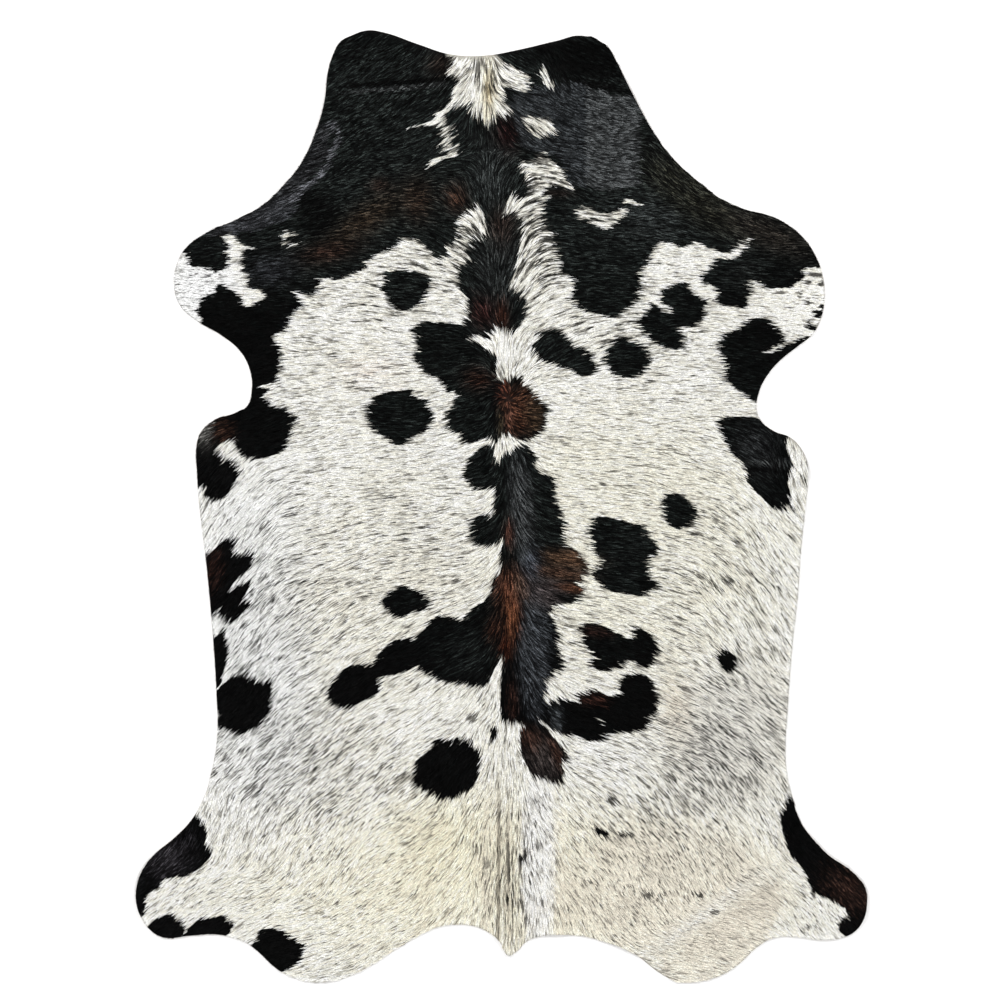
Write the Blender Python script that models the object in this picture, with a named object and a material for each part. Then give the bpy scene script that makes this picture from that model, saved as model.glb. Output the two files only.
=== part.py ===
"""Cowhide rug: one tanned hide with its short hair left on, spread flat on a floor, hair up.

The hide is a single sheet of leather and lying hair. +Y runs from the tail to the neck, +X to
the right as one looks down on the hair, and the underside rests at z = 0. The sheet is cut
from a flat slab by the hide's outline, and then laid over a short table of folds: the low
ridges, creases and rolled edges that a tanned hide keeps when it is spread out.
"""
import math
from collections import namedtuple

import bmesh
import bpy

# Overall size of the hide, in metres
RUG_LENGTH = 2.19
RUG_WIDTH = 1.68

# The sheet: tanned leather, and the hair that lies flat on it
LEATHER_THICKNESS = 0.0025
LYING_HAIR_DEPTH = 0.0025
SHEET_THICKNESS = LEATHER_THICKNESS + LYING_HAIR_DEPTH

# The net of edges that lets the flat sheet bend: even squares, with closer lines beside
# the spine, where the hide has its sharpest ridge and the pleats of the tail. The slab that
# carries the net is larger than the hide, and the prism that cuts it is taller.
NET_SPACING = 0.025
SPINE_NET_LINES = (-0.032, -0.022, -0.013, -0.005, 0.005, 0.014, 0.026)
SLAB_MARGIN = 0.05
PRISM_CLEARANCE = 0.01

# Points to a stretch of outline between two named points
OUTLINE_STEPS = 2

# The caps of the outline's prism join its wall within this, and corners that the outline
# leaves closer together than the smallest edge become one
WELD_DISTANCE = 0.00001
SMALLEST_EDGE = 0.001

CENTIMETRE = 0.01

# The coat's commonest colour, off-white, and its low sheen
COAT_COLOUR = (0.70, 0.67, 0.59, 1.0)
COAT_ROUGHNESS = 0.55

# The outline, clockwise from the left of the neck end, as centimetres right of the middle
# and centimetres towards the neck. A smooth curve goes through the points.
OUTLINE = {
    "neck end": (
        (-40.0, 100.5), (-38.9, 104.0), (-37.2, 107.0), (-34.5, 108.5), (-31.0, 109.6),
        (-27.5, 109.2), (-19.0, 106.3), (-12.0, 104.1), (-4.0, 103.8), (4.0, 105.2),
        (12.5, 107.2), (18.2, 108.4), (24.0, 106.0), (26.2, 102.6),
    ),
    "right of the neck": (
        (30.0, 94.8), (36.0, 84.3), (40.0, 79.4), (46.0, 74.1), (51.0, 70.4),
    ),
    "right foreleg": (
        (56.0, 68.4), (61.5, 67.0), (65.5, 65.0), (69.5, 61.6), (72.0, 57.8), (73.6, 53.5),
        (74.1, 48.0), (73.4, 43.7), (71.6, 40.0), (68.0, 37.0), (64.0, 33.8), (60.9, 30.2),
        (59.0, 26.3), (58.5, 22.2), (59.5, 19.8), (62.6, 17.4), (66.2, 16.0),
    ),
    "right flank": (
        (68.8, 13.3), (70.1, 10.0), (70.3, 6.5), (69.7, 0.0), (68.6, -11.0), (68.0, -20.0),
        (66.6, -33.0), (65.6, -47.0), (65.1, -56.0), (65.6, -62.5),
    ),
    "right hind leg": (
        (66.8, -67.0), (68.2, -71.7), (71.0, -75.8), (75.0, -80.0), (79.0, -82.7),
        (82.0, -85.4), (83.6, -88.2), (83.8, -91.0), (83.1, -94.6), (81.3, -97.4),
        (78.3, -99.0), (73.5, -99.6), (68.0, -98.9), (63.2, -98.9),
    ),
    "right of the rump": (
        (59.7, -100.4), (53.5, -105.8), (49.3, -108.1), (44.5, -109.2), (40.5, -109.2),
        (36.5, -107.3), (30.0, -102.5), (24.0, -100.1), (17.0, -98.5), (8.0, -98.9),
    ),
    "tail": (
        (5.2, -100.2), (3.6, -102.0), (1.3, -103.0), (0.3, -101.8), (-0.5, -100.0),
        (-3.0, -97.9),
    ),
    "left of the rump": (
        (-6.0, -96.5), (-10.5, -96.0), (-15.5, -96.8), (-22.0, -100.2), (-32.0, -106.4),
        (-39.5, -109.1), (-45.0, -109.0), (-50.5, -107.1), (-57.3, -101.3),
    ),
    "left hind leg": (
        (-59.3, -100.0), (-65.5, -98.3), (-72.0, -98.6), (-77.8, -99.0), (-80.9, -97.3),
        (-83.0, -94.3), (-84.1, -90.5), (-83.9, -86.8), (-82.6, -83.4), (-80.6, -80.5),
        (-75.0, -75.7), (-71.5, -72.0),
    ),
    "left flank": (
        (-68.6, -67.0), (-66.6, -60.0), (-65.5, -52.5), (-65.7, -43.0), (-66.5, -30.0),
        (-68.0, -13.5), (-69.6, 0.0), (-70.2, 8.0), (-70.3, 14.0), (-69.2, 17.3),
    ),
    "left foreleg": (
        (-66.0, 20.1), (-61.5, 21.6), (-58.6, 23.3), (-57.6, 26.8), (-57.9, 31.0),
        (-60.0, 35.5), (-64.0, 39.1), (-70.8, 43.2), (-74.2, 46.5), (-75.5, 51.0),
        (-75.0, 55.3), (-73.0, 59.2), (-68.5, 62.7), (-61.0, 66.1), (-55.0, 69.4),
    ),
    "left of the neck": (
        (-50.0, 74.2), (-45.9, 79.6), (-42.7, 86.8), (-40.9, 93.0),
    ),
}

# What lifts the sheet off the floor. Each fold is a straight crest between two ends, highest
# half-way and dying out at both ends and on both sides. An end past the outline is a fold
# that runs off the edge of the hide. All in centimetres, as the outline.
Fold = namedtuple("Fold", "name start end height half_width")
FOLDS = (
    Fold("ridge of the spine", (-1.3, 44.0), (-1.3, -30.0), 0.35, 2.4),
    Fold("pleat left of the tail", (-0.5, -52.0), (-0.5, -150.0), 0.60, 1.8),
    Fold("pleat right of the tail", (1.4, -70.0), (1.4, -140.0), 0.50, 1.3),
    Fold("soft fold right of the tail", (12.8, -58.0), (12.8, -135.0), 0.45, 4.5),
    Fold("crease over the right rump", (22.0, -104.5), (62.0, -83.0), 0.60, 6.0),
    Fold("crease left of the neck", (-46.0, 95.5), (-10.0, 97.8), 0.50, 5.0),
    Fold("crease right of the neck", (4.0, 101.5), (36.0, 93.0), 0.70, 5.0),
    Fold("bend down the right of the neck", (31.9, 96.0), (31.9, 66.0), 0.50, 4.5),
    Fold("rolled edge left of the neck", (-38.0, 100.0), (-56.0, 66.0), 0.80, 4.0),
    Fold("rolled edge of the left foreleg", (-46.0, 73.0), (-78.0, 58.5), 0.60, 4.0),
    Fold("crease in the right flank", (50.0, 9.1), (82.0, 8.1), 0.40, 4.5),
    Fold("curled toe of the left hind leg", (-82.5, -79.0), (-84.5, -99.0), 0.70, 4.0),
    Fold("crease along the right hind leg", (67.0, -74.0), (84.0, -86.5), 0.45, 4.0),
    Fold("curled toe of the right hind leg", (82.0, -82.0), (84.5, -98.0), 0.60, 4.0),
)


def clear_objects():
    """Empty the scene."""
    for scene_object in list(bpy.data.objects):
        bpy.data.objects.remove(scene_object, do_unlink=True)


def new_collection(name):
    """A collection in the scene."""
    collection = bpy.data.collections.new(name)
    bpy.context.scene.collection.children.link(collection)
    return collection


def add_object(name, data, collection):
    """An object at the origin, in one collection."""
    new_object = bpy.data.objects.new(name, data)
    collection.objects.link(new_object)
    return new_object


def evaluated_mesh(source):
    """An object's mesh as its modifiers leave it."""
    bpy.context.view_layer.update()
    depsgraph = bpy.context.evaluated_depsgraph_get()
    return bpy.data.meshes.new_from_object(source.evaluated_get(depsgraph))


def outline_prism(collection):
    """The hide's outline as an upright prism, taller than the sheet, as a cutter."""
    curve = bpy.data.curves.new("hide_outline", "CURVE")
    curve.dimensions = "2D"
    curve.fill_mode = "BOTH"
    curve.extrude = SHEET_THICKNESS + PRISM_CLEARANCE
    curve.resolution_u = OUTLINE_STEPS
    points = [point for part in OUTLINE.values() for point in part]
    spline = curve.splines.new("BEZIER")
    spline.bezier_points.add(len(points) - 1)
    spline.use_cyclic_u = True
    for knot, (across, along) in zip(spline.bezier_points, points):
        knot.co = (across * CENTIMETRE, along * CENTIMETRE, 0.0)
        knot.handle_left_type = "AUTO"
        knot.handle_right_type = "AUTO"
    outline = add_object("hide_outline", curve, collection)

    prism_mesh = evaluated_mesh(outline)
    bm = bmesh.new()
    bm.from_mesh(prism_mesh)
    bmesh.ops.remove_doubles(bm, verts=bm.verts, dist=WELD_DISTANCE)
    bm.to_mesh(prism_mesh)
    bm.free()
    prism = add_object("hide_outline_cutter", prism_mesh, collection)
    prism.matrix_world = outline.matrix_world
    prism.hide_render = True
    prism.display_type = "WIRE"
    bpy.data.objects.remove(outline, do_unlink=True)
    return prism


def net_lines(half_extent, closer_lines=()):
    """Where the net's lines cross one axis: even steps, giving way to any closer lines."""
    steps = math.ceil(half_extent / NET_SPACING)
    even = [step * NET_SPACING for step in range(-steps, steps + 1)]
    if closer_lines:
        low, high = min(closer_lines), max(closer_lines)
        even = [line for line in even if not low <= line <= high]
    return sorted([*even, *closer_lines])


def netted_slab():
    """A flat slab, larger than the hide, whose faces are divided along the net's lines."""
    half_width = RUG_WIDTH / 2 + SLAB_MARGIN
    half_length = RUG_LENGTH / 2 + SLAB_MARGIN
    bm = bmesh.new()
    bmesh.ops.create_cube(bm, size=1.0)
    bmesh.ops.translate(bm, verts=bm.verts, vec=(0.0, 0.0, 0.5))
    slab_size = (2 * half_width, 2 * half_length, SHEET_THICKNESS)
    bmesh.ops.scale(bm, verts=bm.verts, vec=slab_size)
    for across in net_lines(RUG_WIDTH / 2, SPINE_NET_LINES):
        everything = [*bm.verts, *bm.edges, *bm.faces]
        bmesh.ops.bisect_plane(
            bm, geom=everything, plane_co=(across, 0.0, 0.0), plane_no=(1.0, 0.0, 0.0)
        )
    for along in net_lines(RUG_LENGTH / 2):
        everything = [*bm.verts, *bm.edges, *bm.faces]
        bmesh.ops.bisect_plane(
            bm, geom=everything, plane_co=(0.0, along, 0.0), plane_no=(0.0, 1.0, 0.0)
        )
    slab = bpy.data.meshes.new("hide")
    bm.to_mesh(slab)
    bm.free()
    return slab


def fold_height(fold, x, y):
    """How far one fold lifts the sheet at a point, in metres."""
    run = (fold.end[0] - fold.start[0], fold.end[1] - fold.start[1])
    length = math.hypot(*run)
    offset = (x / CENTIMETRE - fold.start[0], y / CENTIMETRE - fold.start[1])
    along = (offset[0] * run[0] + offset[1] * run[1]) / length ** 2
    aside = abs(offset[0] * run[1] - offset[1] * run[0]) / length
    if not 0.0 < along < 1.0 or aside >= fold.half_width:
        return 0.0
    crest = math.sqrt(math.sin(math.pi * along))
    slope = math.cos(0.5 * math.pi * aside / fold.half_width) ** 2
    return fold.height * CENTIMETRE * crest * slope


def lift(x, y):
    """How far the sheet lies off the floor at a point: the highest fold there."""
    return max(fold_height(fold, x, y) for fold in FOLDS)


def fit_to_size(bm):
    """Centre the cut sheet on the origin, at exactly the overall width and length."""
    for axis, size in ((0, RUG_WIDTH), (1, RUG_LENGTH)):
        places = [vert.co[axis] for vert in bm.verts]
        low, high = min(places), max(places)
        for vert in bm.verts:
            vert.co[axis] = ((vert.co[axis] - low) / (high - low) - 0.5) * size


def lay_over_folds(bm):
    """Bend the flat sheet over its folds, both faces alike, so that its thickness stays."""
    for vert in bm.verts:
        vert.co.z += lift(vert.co.x, vert.co.y)


def hide_material():
    """Short glossy hair, off-white over most of the hide."""
    material = bpy.data.materials.new("coat")
    material.use_nodes = True
    shader = material.node_tree.nodes["Principled BSDF"]
    shader.inputs["Base Color"].default_value = COAT_COLOUR
    shader.inputs["Roughness"].default_value = COAT_ROUGHNESS
    shader.inputs["Metallic"].default_value = 0.0
    material.diffuse_color = COAT_COLOUR
    return material


def build_hide(collection, cutters):
    """The hide: the netted slab cut to the outline and laid over the folds."""
    hide = add_object("hide", netted_slab(), collection)
    cut = hide.modifiers.new("cut to outline", "BOOLEAN")
    cut.operation = "INTERSECT"
    cut.solver = "EXACT"
    cut.object = outline_prism(cutters)
    sheet = evaluated_mesh(hide)
    hide.modifiers.clear()

    bm = bmesh.new()
    bm.from_mesh(sheet)
    bmesh.ops.remove_doubles(bm, verts=bm.verts, dist=SMALLEST_EDGE)
    bmesh.ops.dissolve_degenerate(bm, edges=bm.edges, dist=SMALLEST_EDGE)
    fit_to_size(bm)
    lay_over_folds(bm)
    bmesh.ops.triangulate(bm, faces=bm.faces)
    bm.to_mesh(sheet)
    bm.free()
    sheet.materials.clear()
    sheet.materials.append(hide_material())
    hide.data = sheet
    return hide


clear_objects()
rug_parts = new_collection("Cowhide rug")
rug_cutters = new_collection("Cutters")
build_hide(rug_parts, rug_cutters)
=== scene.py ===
"""Cowhide rug: one tanned hide with its own short black and off-white hair, spread on a floor."""
import math
from collections import namedtuple

import bmesh
import bpy
import numpy as np
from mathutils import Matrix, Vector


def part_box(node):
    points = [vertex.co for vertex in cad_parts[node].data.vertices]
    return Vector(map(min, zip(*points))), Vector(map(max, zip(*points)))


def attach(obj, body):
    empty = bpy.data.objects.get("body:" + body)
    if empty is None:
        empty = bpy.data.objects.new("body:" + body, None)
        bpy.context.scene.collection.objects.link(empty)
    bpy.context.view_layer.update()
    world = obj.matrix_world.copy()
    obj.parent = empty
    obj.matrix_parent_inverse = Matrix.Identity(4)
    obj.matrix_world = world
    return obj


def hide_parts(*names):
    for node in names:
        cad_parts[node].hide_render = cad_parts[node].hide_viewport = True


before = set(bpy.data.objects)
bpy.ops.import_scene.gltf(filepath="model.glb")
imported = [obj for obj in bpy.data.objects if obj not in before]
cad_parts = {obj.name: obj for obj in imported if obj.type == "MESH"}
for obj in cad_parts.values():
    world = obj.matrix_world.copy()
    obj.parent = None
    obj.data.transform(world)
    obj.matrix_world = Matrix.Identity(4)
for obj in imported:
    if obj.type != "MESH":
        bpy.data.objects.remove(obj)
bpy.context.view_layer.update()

# ---- The leather ------------------------------------------------------------------------
# The tanned skin that carries the hair: one piece, 2.5 mm thick, cut to the hide's own
# outline with a blade and left unhemmed. It lies flat but for the low ridges, creases and
# rolled edges that it kept from drying. Its flesh side, underneath, is buffed to a suede.
CENTIMETRE = 0.01
LEATHER_THICKNESS = 0.0025
LEATHER_NET = 0.012
OUTLINE_STEPS = 6
# A face looks up or down, and isn't part of the cut edge, where its normal is over this
LOOKS_UP = 0.5

# Clockwise from the left of the neck end: centimetres right of the middle, and towards the neck
OUTLINE = {
    "neck end": (
        (-40, 100.5), (-38.9, 104), (-37.2, 107), (-34.5, 108.5), (-31, 109.6), (-27.5, 109.2),
        (-19, 106.3), (-12, 104.1), (-4, 103.8), (4, 105.2), (12.5, 107.2), (18.2, 108.4),
        (24, 106), (26.2, 102.6),
    ),
    "right of the neck": ((30, 94.8), (36, 84.3), (40, 79.4), (46, 74.1), (51, 70.4)),
    "right foreleg": (
        (56, 68.4), (61.5, 67), (65.5, 65), (69.5, 61.6), (72, 57.8), (73.6, 53.5), (74.1, 48),
        (73.4, 43.7), (71.6, 40), (68, 37), (64, 33.8), (60.9, 30.2), (59, 26.3), (58.5, 22.2),
        (59.5, 19.8), (62.6, 17.4), (66.2, 16),
    ),
    "right flank": (
        (68.8, 13.3), (70.1, 10), (70.3, 6.5), (69.7, 0), (68.6, -11), (68, -20), (66.6, -33),
        (65.6, -47), (65.1, -56), (65.6, -62.5),
    ),
    "right hind leg": (
        (66.8, -67), (68.2, -71.7), (71, -75.8), (75, -80), (79, -82.7), (82, -85.4), (83.6, -88.2),
        (83.8, -91), (83.1, -94.6), (81.3, -97.4), (78.3, -99), (73.5, -99.6), (68, -98.9),
        (63.2, -98.9),
    ),
    "right of the rump": (
        (59.7, -100.4), (53.5, -105.8), (49.3, -108.1), (44.5, -109.2), (40.5, -109.2),
        (36.5, -107.3), (30, -102.5), (24, -100.1), (17, -98.5), (8, -98.9),
    ),
    "tail": ((5.2, -100.2), (3.6, -102), (1.3, -103), (0.3, -101.8), (-0.5, -100), (-3, -97.9)),
    "left of the rump": (
        (-6, -96.5), (-10.5, -96), (-15.5, -96.8), (-22, -100.2), (-32, -106.4), (-39.5, -109.1),
        (-45, -109), (-50.5, -107.1), (-57.3, -101.3),
    ),
    "left hind leg": (
        (-59.3, -100), (-65.5, -98.3), (-72, -98.6), (-77.8, -99), (-80.9, -97.3), (-83, -94.3),
        (-84.1, -90.5), (-83.9, -86.8), (-82.6, -83.4), (-80.6, -80.5), (-75, -75.7), (-71.5, -72),
    ),
    "left flank": (
        (-68.6, -67), (-66.6, -60), (-65.5, -52.5), (-65.7, -43), (-66.5, -30), (-68, -13.5),
        (-69.6, 0), (-70.2, 8), (-70.3, 14), (-69.2, 17.3),
    ),
    "left foreleg": (
        (-66, 20.1), (-61.5, 21.6), (-58.6, 23.3), (-57.6, 26.8), (-57.9, 31), (-60, 35.5),
        (-64, 39.1), (-70.8, 43.2), (-74.2, 46.5), (-75.5, 51), (-75, 55.3), (-73, 59.2),
        (-68.5, 62.7), (-61, 66.1), (-55, 69.4),
    ),
    "left of the neck": ((-50, 74.2), (-45.9, 79.6), (-42.7, 86.8), (-40.9, 93)),
}

# A fold is a straight crest between two ends, highest half-way and dying out on every side
Fold = namedtuple("Fold", "name start end height half_width")
FOLDS = [Fold(*row) for row in (
    ("ridge of the spine", (-1.3, 44), (-1.3, -30), 0.35, 2.4),
    ("pleat left of the tail", (-0.5, -52), (-0.5, -150), 0.6, 1.8),
    ("pleat right of the tail", (1.4, -70), (1.4, -140), 0.5, 1.3),
    ("soft fold right of the tail", (12.8, -58), (12.8, -135), 0.45, 4.5),
    ("crease over the right rump", (22, -104.5), (62, -83), 0.6, 6),
    ("crease left of the neck", (-46, 95.5), (-10, 97.8), 0.5, 5),
    ("crease right of the neck", (4, 101.5), (36, 93), 0.7, 5),
    ("bend down the right of the neck", (31.9, 96), (31.9, 66), 0.5, 4.5),
    ("rolled edge left of the neck", (-38, 100), (-56, 66), 0.8, 4),
    ("rolled edge of the left foreleg", (-46, 73), (-78, 58.5), 0.6, 4),
    ("crease in the right flank", (50, 9.1), (82, 8.1), 0.4, 4.5),
    ("curled toe of the left hind leg", (-82.5, -79), (-84.5, -99), 0.7, 4),
    ("crease along the right hind leg", (67, -74), (84, -86.5), 0.45, 4),
    ("curled toe of the right hind leg", (82, -82), (84.5, -98), 0.6, 4),
    ("crease line left of the neck", (-38, 95.5), (-8, 97.9), 0.9, 0.8),
    ("crease line right of the neck", (12, 98.3), (33, 94.2), 1, 1),
    ("crease line in the right flank", (58, 8.9), (72, 8.5), 0.6, 0.9),
)]


def lift(x, y):
    """How far the folds hold the leather off the floor at each point, all in metres."""
    highest = np.zeros(np.shape(x))
    for fold in FOLDS:
        start_x, start_y = fold.start[0] * CENTIMETRE, fold.start[1] * CENTIMETRE
        run_x = fold.end[0] * CENTIMETRE - start_x
        run_y = fold.end[1] * CENTIMETRE - start_y
        length = math.hypot(run_x, run_y)
        along = ((x - start_x) * run_x + (y - start_y) * run_y) / length ** 2
        aside = np.abs((x - start_x) * run_y - (y - start_y) * run_x) / length
        crest = np.sqrt(np.sin(math.pi * np.clip(along, 0.0, 1.0)).clip(0.0))
        spread = np.clip(aside / (fold.half_width * CENTIMETRE), 0.0, 1.0)
        slope = np.cos(0.5 * math.pi * spread) ** 2
        highest = np.maximum(highest, fold.height * CENTIMETRE * crest * slope)
    return highest


def new_object(name, data):
    """An object at the origin, put into the scene."""
    made = bpy.data.objects.new(name, data)
    bpy.context.scene.collection.objects.link(made)
    return made


def outline_ring():
    """The cut line: a smooth closed curve through the outline's points, as a ring of edges."""
    curve = bpy.data.curves.new("cut_line", "CURVE")
    curve.dimensions = "3D"
    curve.resolution_u = OUTLINE_STEPS
    points = [point for part in OUTLINE.values() for point in part]
    spline = curve.splines.new("BEZIER")
    spline.bezier_points.add(len(points) - 1)
    spline.use_cyclic_u = True
    for knot, (across, along) in zip(spline.bezier_points, points):
        knot.co = (across * CENTIMETRE, along * CENTIMETRE, 0.0)
        knot.handle_left_type = "AUTO"
        knot.handle_right_type = "AUTO"
    line = new_object("cut_line", curve)
    bpy.context.view_layer.update()
    depsgraph = bpy.context.evaluated_depsgraph_get()
    ring = bpy.data.meshes.new_from_object(line.evaluated_get(depsgraph))
    bpy.data.objects.remove(line, do_unlink=True)
    return ring


def fit_to_hide(bm):
    """Stretch the flat cut to the solid hide's exact width and length."""
    for axis in (0, 1):
        places = [vert.co[axis] for vert in bm.verts]
        low, high = min(places), max(places)
        for vert in bm.verts:
            share = (vert.co[axis] - low) / (high - low)
            vert.co[axis] = hide_low[axis] + share * (hide_high[axis] - hide_low[axis])


def cut_into_net(bm):
    """Divide the flat cut along both axes, so that it can follow the folds."""
    for axis, square_to_axis in ((1, (0.0, 1.0, 0.0)), (0, (1.0, 0.0, 0.0))):
        first, last = (int(end[axis] / LEATHER_NET) for end in (hide_low, hide_high))
        for step in range(first, last + 1):
            place = [0.0, 0.0, 0.0]
            place[axis] = step * LEATHER_NET
            everything = [*bm.verts, *bm.edges, *bm.faces]
            bmesh.ops.bisect_plane(bm, geom=everything, plane_co=place, plane_no=square_to_axis)


hide_low, hide_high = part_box("hide")
bm = bmesh.new()
bm.from_mesh(outline_ring())
fit_to_hide(bm)
cut_line = np.array([vert.co[:2] for vert in bm.verts])
bmesh.ops.contextual_create(bm, geom=[*bm.verts, *bm.edges])
cut_into_net(bm)
bmesh.ops.recalc_face_normals(bm, faces=bm.faces)
if sum(face.normal.z for face in bm.faces) > 0.0:
    bmesh.ops.reverse_faces(bm, faces=bm.faces)
grown = bmesh.ops.extrude_face_region(bm, geom=bm.faces)
hair_side = [item for item in grown["geom"] if isinstance(item, bmesh.types.BMVert)]
bmesh.ops.translate(bm, verts=hair_side, vec=(0.0, 0.0, LEATHER_THICKNESS))
bmesh.ops.recalc_face_normals(bm, faces=bm.faces)
places = np.array([vert.co[:] for vert in bm.verts])
for vert, height in zip(bm.verts, lift(places[:, 0], places[:, 1])):
    vert.co.z += height
for face in bm.faces:
    face.smooth = abs(face.normal.z) > LOOKS_UP
    face.material_index = 0 if face.normal.z > LOOKS_UP else 1
bmesh.ops.triangulate(bm, faces=bm.faces)
leather_mesh = bpy.data.meshes.new("leather")
bm.to_mesh(leather_mesh)
bm.free()
leather = new_object("leather", leather_mesh)


def feed(node, inputs):
    """Give each of a node's inputs its constant, or a link from the socket that feeds it."""
    for name, source in inputs.items():
        if isinstance(source, bpy.types.NodeSocket):
            node.id_data.links.new(source, node.inputs[name])
        else:
            node.inputs[name].default_value = source


def add_node(tree, kind, inputs, **settings):
    """A new node with its settings and inputs; gives its outputs."""
    node = tree.nodes.new("ShaderNode" + kind)
    for name, value in settings.items():
        setattr(node, name, value)
    feed(node, inputs)
    return node.outputs


def new_group(name, inputs, outputs):
    """A node group with named sockets; gives what comes in and the node that takes the result."""
    group = bpy.data.node_groups.new(name, "ShaderNodeTree")
    for in_out, sockets in (("INPUT", inputs), ("OUTPUT", outputs)):
        for socket, kind in sockets.items():
            group.interface.new_socket(socket, in_out=in_out, socket_type="NodeSocket" + kind)
    given = group.nodes.new("NodeGroupInput").outputs
    return group, given, group.nodes.new("NodeGroupOutput")


def new_material(name, constants):
    """A material whose shader has these constants; gives its nodes' tree and shader too."""
    material = bpy.data.materials.new(name)
    material.use_nodes = True
    shader = material.node_tree.nodes["Principled BSDF"]
    feed(shader, constants)
    return material, material.node_tree, shader


def grain_group():
    """Fine grain for leather: a soft shade over the surface, and a nap's small bumps."""
    group, given, result = new_group(
        "Nap and grain",
        {"Grain Size": "Float", "Base": "Color", "Worn": "Color"},
        {"Colour": "Color", "Height": "Float"},
    )
    place = add_node(group, "TexCoord", {})["Object"]
    fine = add_node(group, "TexNoise", {
        "Vector": place, "Scale": given["Grain Size"], "Detail": 6.0, "Roughness": 0.65,
    })["Fac"]
    broad = add_node(group, "TexNoise", {"Vector": place, "Scale": 7.0, "Detail": 4.0})["Fac"]
    both = add_node(group, "Math", {0: fine, 1: broad}, operation="MULTIPLY")["Value"]
    blend = add_node(
        group, "Mix", {"Factor": both, "A": given["Base"], "B": given["Worn"]}, data_type="RGBA"
    )
    feed(result, {"Colour": blend["Result"], "Height": fine})
    return group


def suede_material():
    """The flesh side and the cut edge: buffed, pale tan, with a short nap."""
    material, tree, shader = new_material(
        "suede", {"Roughness": 0.9, "Specular IOR Level": 0.2, "Sheen Weight": 0.3}
    )
    grain = add_node(tree, "Group", {
        "Grain Size": 420.0, "Base": (0.36, 0.27, 0.18, 1.0), "Worn": (0.62, 0.52, 0.39, 1.0),
    }, node_tree=grain_group())
    nap = add_node(tree, "Bump", {
        "Strength": 0.5, "Distance": 0.0006, "Height": grain["Height"],
    })
    feed(shader, {"Base Color": grain["Colour"], "Normal": nap["Normal"]})
    return material


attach(leather, "root")
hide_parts("hide")

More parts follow.
